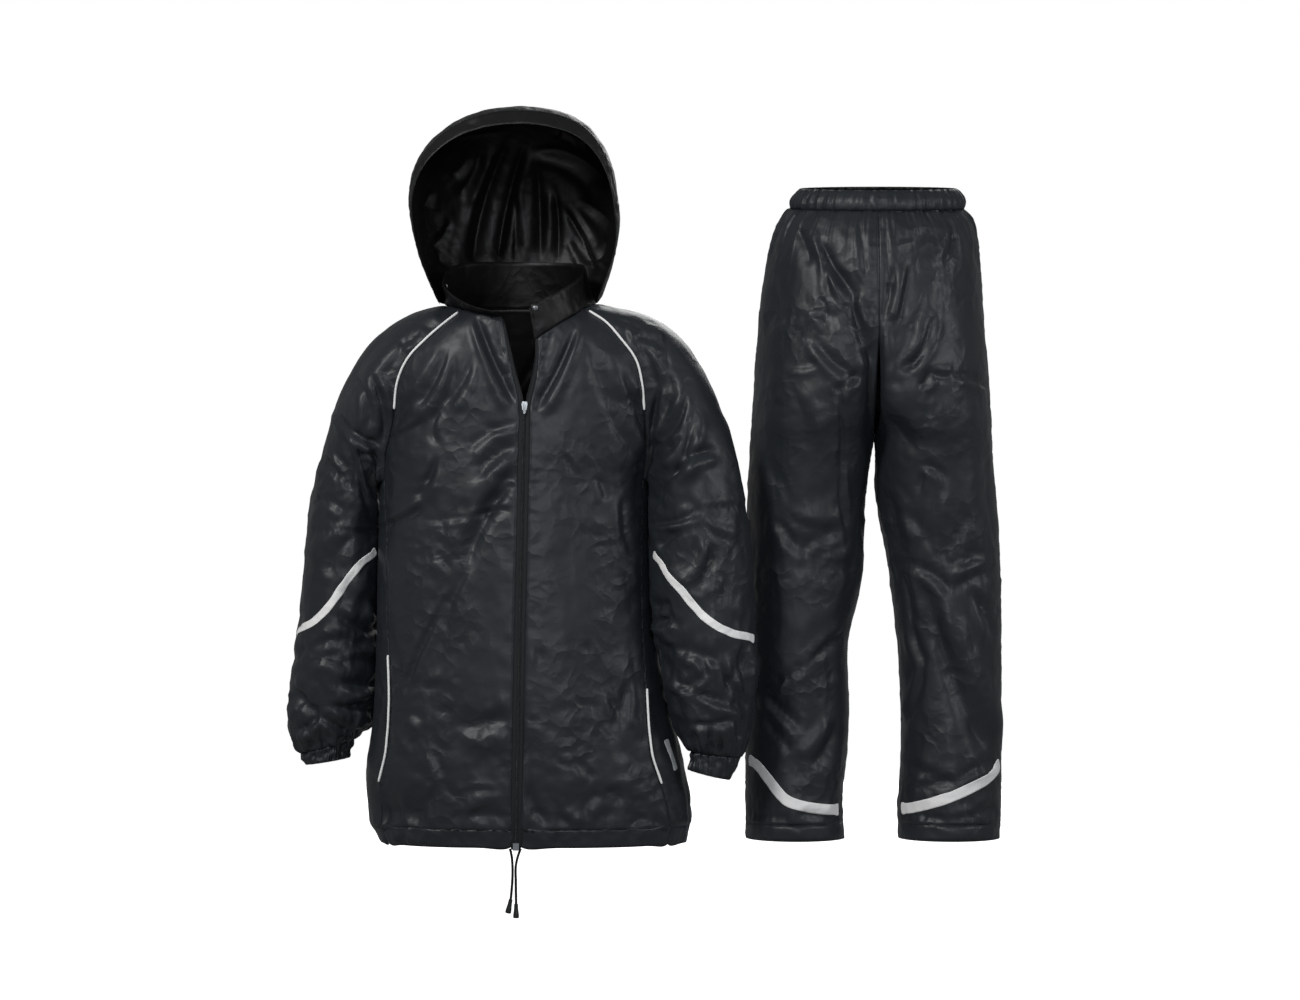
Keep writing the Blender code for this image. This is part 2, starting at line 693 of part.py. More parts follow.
def tape_on_grid(grid, normals, centre_line, width, steps, cross_steps=1, overrun=(0.0, 0.0)):
    """Grid of points for a tape of even width lying on cloth, and its normals"""
    places = resample([locate(grid, x, z) for x, z in centre_line], 40)
    start_way = places[0] - places[1]
    end_way = places[-1] - places[-2]
    places = np.concatenate([
        [places[0] + start_way * overrun[0]], places, [places[-1] + end_way * overrun[1]],
    ])
    surface = np.array([on_grid(grid, r, c) for r, c in places])
    reach = np.concatenate([[0], np.cumsum(np.linalg.norm(np.diff(surface, axis=0), axis=1))])
    at = np.linspace(0, reach[-1], steps + 1)
    places = np.column_stack([np.interp(at, reach, places[:, i]) for i in range(2)])
    surface = np.array([on_grid(grid, r, c) for r, c in places])
    along = unit(np.gradient(surface, axis=0))
    tape = np.zeros((cross_steps + 1, steps + 1, 3))
    tape_normals = np.zeros_like(tape)
    for i, (row, column) in enumerate(places):
        normal = unit(on_grid(normals, row, column))
        side = unit(np.cross(normal, along[i]))
        step = 0.05
        by_row = (on_grid(grid, row + step, column) - on_grid(grid, row - step, column)) / (2 * step)
        by_column = (on_grid(grid, row, column + step) - on_grid(grid, row, column - step)) / (2 * step)
        matrix = np.column_stack([by_row, by_column])
        for j in range(cross_steps + 1):
            shift = side * width * (j / cross_steps - 0.5)
            move = np.linalg.lstsq(matrix, shift, rcond=None)[0]
            tape[j, i] = on_grid(grid, row + move[0], column + move[1])
            tape_normals[j, i] = unit(on_grid(normals, row + move[0], column + move[1]))
    return tape, tape_normals


def body_ring_shares(values, row, back=False):
    """Positions across the body (-1 left side, 1 right side) of every column at one row"""
    left = values["left"][row]
    right = values["right"][row]

    def share(x):
        return 2 * (x - left) / (right - left) - 1

    def turn(x):
        return math.acos(-max(-1.0, min(1.0, share(x))))

    seam_left = turn(values["seam_left"][row])
    seam_right = turn(values["seam_right"][row])
    if back:
        middle = math.pi / 2
        stops = (0, seam_left, middle, seam_right, math.pi)
        counts = (STRIP_COLUMNS, BACK_COLUMNS, BACK_COLUMNS, STRIP_COLUMNS)
    else:
        zip_x = values["zip"][row]
        edge_left = turn(zip_x - ZIP_TAPE_WIDTH)
        edge_right = turn(zip_x + ZIP_TAPE_WIDTH)
        stops = (0, seam_left, edge_left, turn(zip_x), edge_right, seam_right, math.pi)
        counts = (STRIP_COLUMNS, FRONT_COLUMNS, 1, 1, FRONT_COLUMNS, STRIP_COLUMNS)
    turns = [0.0]
    for start, end, count in zip(stops, stops[1:], counts):
        turns += [start + (end - start) * i / count for i in range(1, count + 1)]
    return -np.cos(np.array(turns))


def side_profile(shares):
    """Depth of the body's oval at positions across it, 1 at the middle"""
    return np.sqrt(np.maximum(0, 1 - np.abs(shares) ** SIDE_POWER))


def lower_body(back):
    """Rows of cloth from the underarm to the hem, left to right"""
    values = read_table(BODY_COLUMNS, BODY, BODY_ROWS)
    rows = []
    for row, drop in enumerate(BODY_ROWS):
        shares = body_ring_shares(values, row, back)
        left = values["left"][row]
        right = values["right"][row]
        x = left + (right - left) * (shares + 1) / 2
        depth = values["back"][row] if back else -values["front"][row]
        y = depth * side_profile(shares)
        rows.append(np.column_stack([x, y, np.full(len(x), -float(drop))]))
    return np.array(rows)


def upper_half(seam, middle, first_row, profile):
    """Rows from the neckline down to the underarm between a raglan seam and the middle"""
    base = abs(first_row - first_row[-1])
    span = base / base[0]
    depth = (profile - profile[0]) / (profile[-1] - profile[0])
    rows = []
    for start, end in zip(seam, middle):
        x = end[0] + (start[0] - end[0]) * span
        z = end[2] + (start[2] - end[2]) * span
        y = start[1] + (end[1] - start[1]) * depth
        rows.append(np.column_stack([x, y, z]))
    return np.array(rows)[::-1]


def build_body_grids():
    """Front left, front right and back cloth of the jacket, with the raglan seams' points"""
    front = lower_body(back=False)
    back = lower_body(back=True)
    centre = STRIP_COLUMNS + FRONT_COLUMNS + 1
    back_centre = STRIP_COLUMNS + BACK_COLUMNS
    left_low = front[:, :centre + 1]
    right_low = front[:, centre:]
    edges = np.array(FRONT_EDGES, float)
    back_middle = resample([back[0, back_centre], *BACK_MIDDLE], RAGLAN_ROWS)

    def quarter(lower_row, seam_points, middle, flip):
        row = lower_row[::-1] if flip else lower_row
        row = row[STRIP_COLUMNS:]
        seam = resample([row[0], *seam_points], RAGLAN_ROWS)
        seam[0] = row[0]
        middle = middle.copy()
        middle[0] = row[-1]
        profile = np.abs(row[:, 1])
        grid = upper_half(seam, middle, row[:, 0], profile)
        grid[-1] = row
        return (grid[:, ::-1] if flip else grid), seam

    left_up, seam_fl = quarter(left_low[0], FRONT_RAGLAN_LEFT, edges[:, 0:3], False)
    right_up, seam_fr = quarter(right_low[0], FRONT_RAGLAN_RIGHT, edges[:, 3:6], True)
    back_left, seam_bl = quarter(back[0, :back_centre + 1], BACK_RAGLAN_LEFT, back_middle, False)
    back_right, seam_br = quarter(back[0, back_centre:], BACK_RAGLAN_RIGHT, back_middle, True)
    back_up = np.concatenate([back_left, back_right[:, 1:]], axis=1)
    return {
        "left_low": left_low, "right_low": right_low, "back_low": back[:, ::-1],
        "left_up": left_up, "right_up": right_up, "back_up": back_up[:, ::-1],
        "seam_fl": seam_fl, "seam_fr": seam_fr, "seam_bl": seam_bl, "seam_br": seam_br,
    }


def build_sleeve_grid(loop, table, side):
    """Rings of a sleeve from its raglan loop to the cuff; side is -1 for the left"""
    steps = np.linalg.norm(np.diff(loop, axis=0), axis=1)
    turns = 2 * math.pi * np.concatenate([[0], np.cumsum(steps)]) / steps.sum()
    values = read_table(SLEEVE_COLUMNS, table, [row[0] for row in table])
    chord_start = loop[0][[0, 2]]
    chord_end = np.array([values["outer_x"][0], values["outer_z"][0]])
    chord = chord_end - chord_start
    length = np.linalg.norm(chord)
    along = chord / length
    across = np.array([-along[1], along[0]])
    rel = loop[:, (0, 2)] - chord_start
    loop_share = rel @ along / length
    loop_off = rel @ across
    rings = [loop]
    for i in range(1, len(table)):
        start = np.array([values["inner_x"][i], values["inner_z"][i]])
        end = np.array([values["outer_x"][i], values["outer_z"][i]])
        chord = end - start
        normal = unit(np.array([-chord[1], chord[0]]))
        blend = values["blend"][i]
        share = (1 - blend) * loop_share + blend * (1 - np.cos(turns)) / 2
        off = (1 - blend) * loop_off
        flat = start + share[:, None] * chord + off[:, None] * normal
        round_y = values["centre_y"][i] - side * values["half_depth"][i] * np.sin(turns)
        y = (1 - blend) * loop[:, 1] + blend * round_y
        ring = np.column_stack([flat[:, 0], y, flat[:, 1]])
        ring[-1] = ring[0]
        rings.append(ring)
    return np.array(rings)


def ring_of(inner, outer, centre_y, half_depth, side, columns, wave=0.0):
    """Oval ring across a sleeve, gathered when wave is not zero"""
    points = []
    for i in range(columns + 1):
        turn = 2 * math.pi * i / columns
        ripple = 1 + wave * (1 if i % 2 else -1)
        share = 0.5 - 0.5 * math.cos(turn) * ripple
        x = inner[0] + (outer[0] - inner[0]) * share
        z = inner[1] + (outer[1] - inner[1]) * share
        y = centre_y - side * half_depth * math.sin(turn) * ripple
        points.append((x, y, z))
    points[-1] = points[0]
    return np.array(points)


def build_cuff(name, table, centre_y, side):
    """Gathered elastic cuff below the sleeve's last ring"""
    rings = []
    for inner_x, inner_z, outer_x, outer_z, half_depth in table:
        rings.append(ring_of((inner_x, inner_z), (outer_x, outer_z), centre_y, half_depth, side,
                             2 * CUFF_GATHERS, CUFF_GATHER_SHARE))
    grid = np.array(rings)
    normals, = grid_normals([grid])
    cloth_solid(name, [(grid, normals)], "nylon", wall=CUFF_WALL)


def build_jacket():
    grids = build_body_grids()
    loop_left = np.concatenate([
        grids["back_low"][0, ::-1][:STRIP_COLUMNS],
        grids["seam_bl"], NECK_STRETCH_LEFT, grids["seam_fl"][::-1],
        grids["left_low"][0, :STRIP_COLUMNS][::-1],
    ])
    loop_right = np.concatenate([
        grids["right_low"][0, ::-1][:STRIP_COLUMNS],
        grids["seam_fr"], NECK_STRETCH_RIGHT, grids["seam_br"][::-1],
        grids["back_low"][0, :STRIP_COLUMNS][::-1],
    ])
    sleeve_left = build_sleeve_grid(loop_left, SLEEVE_LEFT, -1)
    sleeve_right = build_sleeve_grid(loop_right, SLEEVE_RIGHT, 1)
    names = ("left_low", "right_low", "back_low", "left_up", "right_up", "back_up")
    cloth = [grids[name] for name in names] + [sleeve_left, sleeve_right]
    normals = grid_normals(cloth)
    pressed = [apply_folds(g, n, BODY_FOLDS) for g, n in zip(cloth[:6], normals[:6])]
    for grid, normal, folds in ((sleeve_left, normals[6], SLEEVE_LEFT_FOLDS),
                                (sleeve_right, normals[7], SLEEVE_RIGHT_FOLDS)):
        # the sleeve's own folds begin below its first rings, which follow the body's
        fade = np.clip((np.arange(len(grid)) - 3) / 3, 0, 1)[:, None]
        low = apply_folds(grid, normal, folds, fade)
        top = apply_folds(grid, normal, BODY_FOLDS)
        low[0] = top[0]
        pressed.append(low)
    cloth = pressed
    normals = grid_normals(cloth)
    left_low, right_low, back_low, left_up, right_up, back_up, sleeve_left, sleeve_right = zip(cloth, normals)

    def block(pair, rows, columns):
        return pair[0][rows, columns], pair[1][rows, columns]

    hem = len(BODY_ROWS) - 1 - HEM_BAND_ROWS
    strip = STRIP_COLUMNS
    tape = STRIP_COLUMNS + FRONT_COLUMNS
    every = slice(None)
    above = slice(None, hem + 1)
    band = slice(hem, None)
    cloth_solid("front_left", [
        block(left_low, above, slice(strip, tape + 1)), block(left_up, every, slice(None, FRONT_COLUMNS + 1)),
    ], "nylon")
    cloth_solid("front_right", [
        block(right_low, above, slice(1, FRONT_COLUMNS + 2)), block(right_up, every, slice(1, None)),
    ], "nylon")
    cloth_solid("back", [
        block(left_low, above, slice(None, strip + 1)), block(right_low, above, slice(FRONT_COLUMNS + 1, None)),
        block(back_low, above, every), block(back_up, every, every),
    ], "nylon")
    cloth_solid("hem_band_left", [block(left_low, band, slice(strip, tape + 1))], "nylon", wall=BAND_WALL)
    cloth_solid("hem_band_right", [block(right_low, band, slice(1, FRONT_COLUMNS + 2))], "nylon",
                wall=BAND_WALL)
    cloth_solid("hem_band_back", [
        block(left_low, band, slice(None, strip + 1)), block(right_low, band, slice(FRONT_COLUMNS + 1, None)),
        block(back_low, band, every),
    ], "nylon", wall=BAND_WALL)
    cloth_solid("zip_tape_left", [
        block(left_low, every, slice(tape, None)), block(left_up, every, slice(FRONT_COLUMNS, None)),
    ], "zip_tape")
    cloth_solid("zip_tape_right", [
        block(right_low, every, slice(None, 2)), block(right_up, every, slice(None, 2)),
    ], "zip_tape")
    cloth_solid("sleeve_left", [sleeve_left], "nylon")
    cloth_solid("sleeve_right", [sleeve_right], "nylon")
    build_cuff("cuff_left", CUFF_LEFT, SLEEVE_LEFT[-1][5], -1)
    build_cuff("cuff_right", CUFF_RIGHT, SLEEVE_RIGHT[-1][5], 1)

    # white piping on the raglan seams' own points
    lift = PIPING_RADIUS + PIPING_LIFT
    for name, pair, column in (("raglan_piping_left", left_up, 0), ("raglan_piping_right", right_up, -1)):
        rows = slice(0, RAGLAN_ROWS - 2)
        path = pair[0][rows, column] + pair[1][rows, column] * lift
        path[0] = path[0] * 0.7 + path[1] * 0.3
        tube(name, resample(path, 12), PIPING_RADIUS, "piping")

    # pale piping at the pocket openings in the side-front seams
    for name, pair, column, (top, foot) in (
        ("pocket_piping_left", left_low, strip, POCKET_PIPING_LEFT),
        ("pocket_piping_right", right_low, FRONT_COLUMNS + 1, POCKET_PIPING_RIGHT),
    ):
        drops = -pair[0][:, column, 2]
        at = np.interp(np.linspace(top, foot, 10), drops, np.arange(len(drops)))
        path = [on_grid(pair[0] + pair[1] * lift, row, column) for row in at]
        tube(name, path, PIPING_RADIUS, "piping")

    for name, pair, line, overrun in (
        ("sleeve_tape_left", sleeve_left, SLEEVE_TAPE_LEFT, (2.5, 2.5)),
        ("sleeve_tape_right", sleeve_right, SLEEVE_TAPE_RIGHT, (2.5, 2.5)),
    ):
        points, point_normals = tape_on_grid(*pair, line, SLEEVE_TAPE_WIDTH, 24, overrun=overrun)
        cloth_solid(name, [(points, point_normals)], "sleeve_tape", wall=TAPE_WALL,
                    lift=SLEEVE_TAPE_LIFT, gap=0)
    points, point_normals = tape_on_grid(*right_low, SIDE_TAB, SIDE_TAB_WIDTH, 8)
    cloth_solid("side_tab", [(points, point_normals)], "side_tab", wall=SIDE_TAB_WALL,
                lift=TAPE_LIFT, gap=0)
    build_collar_and_hood(left_up, right_up, back_up)


def build_collar_and_hood(left_up, right_up, back_up):
    """Stand-up collar on the neckline, and the hood outside its base"""
    base = np.concatenate([
        right_up[0][0], NECK_STRETCH_RIGHT, back_up[0][0], NECK_STRETCH_LEFT, left_up[0][0],
    ])
    steps = np.linalg.norm(np.diff(base, axis=0), axis=1)
    shares = np.concatenate([[0], np.cumsum(steps)]) / steps.sum()
    top_values = read_table(COLLAR_COLUMNS, COLLAR_TOP, shares)
    top = np.column_stack([top_values[name] for name in ("x", "y", "z")])
    base = base + np.array([0, 0, 0.6])
    rows = []
    for row in range(COLLAR_ROWS + 1):
        share = row / COLLAR_ROWS
        rows.append(base * (1 - share) + top * share)
    grid = np.array(rows)[::-1]
    normals, = grid_normals([grid])
    # level the normals at the base, so that the collar stands clear of the neckline
    level = normals.copy()
    level[..., 2] = 0
    normals[-1] = unit(level[-1])
    cloth_solid("collar", [(grid, normals)], "nylon_inside", wall=BAND_WALL)

    for name, share, row, on_outside in (("snap_left", 0.775, 0.35, False), ("snap_right", 0.215, 0.35, False),
                                         ("snap_front", 0.02, 0.35, True)):
        column = float(np.interp(share, shares, np.arange(len(shares))))
        spot = on_grid(grid, row, column)
        way = unit(on_grid(normals, row, column))
        if not on_outside:
            spot = spot - way * BAND_WALL
            way = -way
        turned(name, ((4.2, 0.9), (4.2, 1.7), (3.2, 2.4), (1.6, 2.7)), spot, way, "snap", sides=12)

    arch_values = read_table(HOOD_ARCH_COLUMNS, HOOD_ARCH, np.linspace(0, 1, HOOD_COLUMNS + 1))
    row_values = read_table(HOOD_ROW_COLUMNS, HOOD_ROWS, np.arange(len(HOOD_ROWS)))
    first = RAGLAN_ROWS + 2
    around = base[first:len(base) - first]
    outward = level[-1][first:len(base) - first]
    neck = resample(around + unit(outward) * (CLOTH_WALL + 0.8) + np.array([0, 0, 0.8]), HOOD_COLUMNS)
    rows = []
    for row in range(len(HOOD_ROWS)):
        spread = row_values["spread"][row]
        settle = row_values["settle"][row]
        rise = arch_values["rise"]
        narrowing = 1 - (1 - spread) * np.minimum(1, 2 * rise)
        x = HOOD_CENTRE + (arch_values["x"] - HOOD_CENTRE) * narrowing
        y = row_values["foot_y"][row] + (row_values["apex_y"][row] - row_values["foot_y"][row]) * rise
        z = row_values["foot_z"][row] + (row_values["apex_z"][row] - row_values["foot_z"][row]) * rise
        arch = np.column_stack([x, y, z])
        rows.append(arch * (1 - settle) + neck * settle)
    grid = np.array(rows)
    normals, = grid_normals([grid])
    grid = apply_folds(grid, normals, HOOD_FOLDS)
    normals, = grid_normals([grid])
    cloth_solid("hood", [(grid[1:], normals[1:])], "nylon")
    cloth_solid("hood_band", [(grid[:2], normals[:2])], "nylon")


def box_points(size, shift):
    half = np.array(size) / 2
    signs = ((-1, -1, -1), (1, -1, -1), (1, 1, -1), (-1, 1, -1), (-1, -1, 1), (1, -1, 1), (1, 1, 1), (-1, 1, 1))
    return [np.array(s) * half + np.array(shift) for s in signs]


BOX_FACES = ((0, 3, 2, 1), (4, 5, 6, 7), (0, 1, 5, 4), (1, 2, 6, 5), (2, 3, 7, 6), (3, 0, 4, 7))


def lean(points, centre, angle):
    """Tip points back about the X axis and set them at a centre"""
    c = math.cos(angle)
    s = math.sin(angle)
    return [np.array([p[0], p[1] * c + p[2] * s, -p[1] * s + p[2] * c]) + centre for p in points]


def outline_plate(outline, back, front):
    """Plate from an outline in x and z, between two depths"""
    count = len(outline)
    points = [(x, back, z) for x, z in outline] + [(x, front, z) for x, z in outline]
    faces = [tuple(range(count)), tuple(range(count, 2 * count))]
    for i in range(count):
        j = (i + 1) % count
        faces.append((i, j, j + count, i + count))
    return points, faces


def union(target, pieces):
    """Join simple solids into one with Boolean unions"""
    for piece in pieces:
        join = target.modifiers.new(piece.name, "BOOLEAN")
        join.operation = "UNION"
        join.solver = "EXACT"
        join.object = piece
        piece.hide_render = True
        piece.display_type = "WIRE"


def build_zip_metal():
    """Slider with its bridge, the pull tab hung on it, and the box at the zip's foot"""
    width, thickness, height = SLIDER_SIZE
    centre = np.array(SLIDER_CENTRE)
    half = width / 2
    outline = ((-half * 0.7, -height / 2), (half * 0.7, -height / 2), (half, height * 0.2),
               (half * 0.8, height / 2), (-half * 0.8, height / 2), (-half, height * 0.2))
    plate_front = -PLATE_GAP - thickness
    points, faces = outline_plate(outline, plate_front, -PLATE_GAP)
    slider = add_mesh_object("zip_slider", lean(points, centre, SLIDER_LEAN), faces, "metal", False)
    back_face = CLOTH_WALL + PLATE_GAP
    points, faces = outline_plate(outline, back_face, back_face + thickness)
    pieces = [add_mesh_object("slider_back", lean(points, centre, SLIDER_LEAN), faces, "metal", False)]
    bar_depth = plate_front - BRIDGE_REACH
    boxes = (
        # the post between the plates stands in the fork where the two tapes part
        ("slider_post", (1.4, back_face + PLATE_GAP + 0.8, 1.8), (0.6, back_face / 2 - PLATE_GAP / 2, 5.4)),
        ("slider_bridge_top", (1.5, BRIDGE_REACH + 1.0, 1.3), (0, plate_front - BRIDGE_REACH / 2 + 0.4, 3.4)),
        ("slider_bridge_foot", (1.5, BRIDGE_REACH + 1.0, 1.3), (0, plate_front - BRIDGE_REACH / 2 + 0.4, -1.4)),
        ("slider_bar", (1.5, 1.1, 6.1), (0, bar_depth, 1.0)),
    )
    for name, size, shift in boxes:
        corners = lean(box_points(size, shift), centre, SLIDER_LEAN)
        pieces.append(add_mesh_object(name, corners, BOX_FACES, "metal", False))
    union(slider, pieces)

    pivot = lean([np.array([0.0, plate_front - PULL_REACH, 1.0])], centre, SLIDER_LEAN)[0]
    pull_width, pull_thickness, pull_length = PULL_SIZE
    half = pull_width / 2
    outline = ((-half, 0.6), (half, 0.6), (half, -pull_length + 2.5), (half * 0.5, -pull_length + 0.6),
               (-half * 0.5, -pull_length + 0.6), (-half, -pull_length + 2.5))
    points, faces = outline_plate(outline, -pull_thickness / 2, pull_thickness / 2)
    pull = add_mesh_object("zip_pull", points, faces, "metal", False)
    window = add_mesh_object("pull_window", box_points((2.4, 4.0, 4.2), (0, 0, -2.7)), BOX_FACES, "metal", False)
    pull.location = [float(v) * MM for v in pivot]
    window.location = pull.location
    cut = pull.modifiers.new("window", "BOOLEAN")
    cut.operation = "DIFFERENCE"
    cut.solver = "EXACT"
    cut.object = window
    window.hide_render = True
    window.display_type = "WIRE"

    add_mesh_object("zip_end_box", box_points(END_BOX_SIZE, END_BOX_CENTRE), BOX_FACES, "end_box", False)


def build_drawcord():
    """The two free ends of the hem's drawcord, with their moulded cord ends"""
    for side, route, way in (("left", CORD_ROUTE_LEFT, (-0.2, 0.0, -1.0)),
                             ("right", CORD_ROUTE_RIGHT, (0.0, 0.0, -1.0))):
        path = resample(route, CORD_STEPS)
        curve = bpy.data.curves.new("drawcord_" + side, "CURVE")
        curve.dimensions = "3D"
        curve.bevel_depth = CORD_DIAMETER / 2 * MM
        curve.bevel_resolution = 2
        curve.use_fill_caps = True
        line = curve.splines.new("POLY")
        line.points.add(len(path) - 1)
        for point, place in zip(line.points, path):
            point.co = (*[float(v) * MM for v in place], 1.0)
        line.use_smooth = True
        curve.materials.append(make_material("drawcord_" + side, "cord"))
        cord = bpy.data.objects.new("drawcord_" + side, curve)
        bpy.context.scene.collection.objects.link(cord)
        way = unit(np.array(way))
        start = path[-1] + way * SEAM_GAP
        length = CORD_END_LENGTH
        profile = ((CORD_END_TOP_RADIUS - 0.6, 0), (CORD_END_TOP_RADIUS, 0.8),
                   (CORD_END_TOP_RADIUS + 0.3, length * 0.35), (CORD_END_FOOT_RADIUS, length * 0.8),
                   (CORD_END_FOOT_RADIUS, length - 1.0), (CORD_END_FOOT_RADIUS - 1.0, length))
        turned("cord_end_" + side, profile, start, way, "cord_end")


def build_leg_grids(table, side):
    """Front and back cloth of one half of the trousers, from the outer seam to the inner one"""
    values = read_table(TROUSER_COLUMNS, table, TROUSER_ROWS)
    front_rows = []
    back_rows = []
    for row, drop in enumerate(TROUSER_ROWS):
        outer = values["outer"][row]
        inner = values["inner"][row]
        middle = (outer + inner) / 2
        reach = abs(inner - outer) / 2
        end = math.pi
        if drop < CROTCH_DROP:
            end = math.acos(max(-1.0, min(1.0, side * (TROUSER_CENTRE - middle) / reach)))
        fade = max(0.0, 1 - (drop - TROUSER_ROWS[0]) / WAIST_TILT_REACH)
        gather = WAIST_GATHER_DEPTH * max(0.0, 1 - (drop - TROUSER_ROWS[0]) / WAIST_GATHER_REACH)
        for rows, depth, way in ((front_rows, values["front"][row], -1), (back_rows, values["back"][row], 1)):
            points = []
            for column in range(LEG_COLUMNS + 1):
                turn = end * column / LEG_COLUMNS
                swell = 1 + (gather if column % 2 else -gather) / 100
                x = middle + side * reach * math.cos(turn) * swell
                y = way * depth * math.sin(turn) * swell
                z = -drop + WAIST_TILT * fade * y / 100
                points.append((x, TROUSER_DEPTH_CENTRE + y, z))
            if drop < CROTCH_DROP:
                points[-1] = (TROUSER_CENTRE, points[-1][1], points[-1][2])
            else:
                points[-1] = (inner, TROUSER_DEPTH_CENTRE, float(-drop))
            rows.append(points)
    return np.array(front_rows), np.array(back_rows)


def build_trousers():
    hem = len(TROUSER_ROWS) - 1 - TROUSER_HEM_ROWS
    for name, table, side, tape_line in (("left", TROUSER_LEFT, -1, TROUSER_TAPE_LEFT),
                                         ("right", TROUSER_RIGHT, 1, TROUSER_TAPE_RIGHT)):
        front, back = build_leg_grids(table, side)
        # run both the same way round, so that the cloth's outside is out
        front = front if side < 0 else front[:, ::-1]
        back = back[:, ::-1] if side < 0 else back
        normals = grid_normals([front, back])
        front = apply_folds(front, normals[0], TROUSER_FOLDS)
        back = apply_folds(back, normals[1], TROUSER_FOLDS)
        normals = grid_normals([front, back])
        cloth_solid("trouser_front_" + name, [(front[:hem + 1], normals[0][:hem + 1])], "nylon")
        cloth_solid("trouser_back_" + name, [(back[:hem + 1], normals[1][:hem + 1])], "nylon")
        cloth_solid("trouser_hem_" + name, [(front[hem:], normals[0][hem:]), (back[hem:], normals[1][hem:])],
                    "nylon", wall=BAND_WALL)
        points, point_normals = tape_on_grid(front, normals[0], tape_line, TROUSER_TAPE_WIDTH, 20)
        cloth_solid("trouser_tape_" + name, [(points, point_normals)], "trouser_tape", wall=TAPE_WALL,
                    lift=TAPE_LIFT, gap=0)

    rings = []
    for height, left, right, half_depth in WAISTBAND[::-1]:
        ring = []
        count = 2 * WAIST_GATHERS
        for i in range(count + 1):
            turn = 2 * math.pi * i / count
            swell = 1 + (WAISTBAND_GATHER_SHARE if i % 2 else -WAISTBAND_GATHER_SHARE)
            x = (left + right) / 2 - (right - left) / 2 * math.cos(turn) * swell
            y = -half_depth * math.sin(turn) * swell
            ring.append((x, TROUSER_DEPTH_CENTRE + y, height + WAIST_TILT * y / 100 + WAISTBAND_CLEARANCE))
        ring[-1] = ring[0]
        rings.append(ring)
    grid = np.array(rings)
    normals, = grid_normals([grid])
    level = normals.copy()
    level[..., 2] = 0
    cloth_solid("waistband", [(grid, unit(level))], "nylon", wall=BAND_WALL)


clear_scene()
build_jacket()
build_zip_metal()
build_drawcord()
build_trousers()
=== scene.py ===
# Rain suit: hooded raglan jacket and elasticated trousers, filled out as worn
import math

import bmesh
import bpy
import numpy as np
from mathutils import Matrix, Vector
from mathutils.bvhtree import BVHTree
from mathutils.kdtree import KDTree


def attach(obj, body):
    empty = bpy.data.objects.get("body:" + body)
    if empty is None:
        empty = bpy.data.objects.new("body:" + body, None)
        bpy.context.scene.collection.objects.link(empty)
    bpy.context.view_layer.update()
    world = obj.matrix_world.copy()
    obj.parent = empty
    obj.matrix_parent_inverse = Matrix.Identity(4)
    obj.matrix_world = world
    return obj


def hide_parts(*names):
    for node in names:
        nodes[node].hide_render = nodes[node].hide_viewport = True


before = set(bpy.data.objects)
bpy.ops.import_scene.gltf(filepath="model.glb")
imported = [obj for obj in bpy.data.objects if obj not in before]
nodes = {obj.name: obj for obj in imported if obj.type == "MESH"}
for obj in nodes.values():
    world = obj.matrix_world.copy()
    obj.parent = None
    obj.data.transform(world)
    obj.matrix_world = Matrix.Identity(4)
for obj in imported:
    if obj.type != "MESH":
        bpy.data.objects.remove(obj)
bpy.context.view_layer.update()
mm = 0.001

# the camera looks straight at the front, level with the middle of the suit
camera = {"place": (0.19375, -6.0, -0.30225), "seenWidth": 2.015, "sensor": 36.0}


def makeCamera():
    data = bpy.data.cameras.new("camera")
    data.sensor_width = camera["sensor"]
    data.lens = camera["sensor"] * -camera["place"][1] / camera["seenWidth"]
    thing = bpy.data.objects.new("camera", data)
    thing.location = camera["place"]
    thing.rotation_euler = (math.pi / 2, 0, 0)
    bpy.context.scene.collection.objects.link(thing)
    bpy.context.scene.camera = thing


makeCamera()


# materials
def toLinear(hexText):
    parts = [int(hexText[i:i + 2], 16) / 255 for i in (0, 2, 4)]
    return [c / 12.92 if c <= 0.04045 else ((c + 0.055) / 1.055) ** 2.4 for c in parts] + [1.0]


def addNode(tree, kind, settings=None, inputs=None):
    # a node with its settings, its fixed inputs and its links
    node = tree.nodes.new(kind)
    for name, value in (settings or {}).items():
        setattr(node, name, value)
    for name, value in (inputs or {}).items():
        if isinstance(value, bpy.types.NodeSocket):
            tree.links.new(value, node.inputs[name])
        else:
            node.inputs[name].default_value = value
    return node


def newMaterial(name, surface):
    # an empty material with a Principled surface of the given constants
    material = bpy.data.materials.new(name)
    material.use_nodes = True
    tree = material.node_tree
    tree.nodes.clear()
    shader = addNode(tree, "ShaderNodeBsdfPrincipled", inputs=surface)
    addNode(tree, "ShaderNodeOutputMaterial", inputs={"Surface": shader.outputs["BSDF"]})
    return material, tree, shader


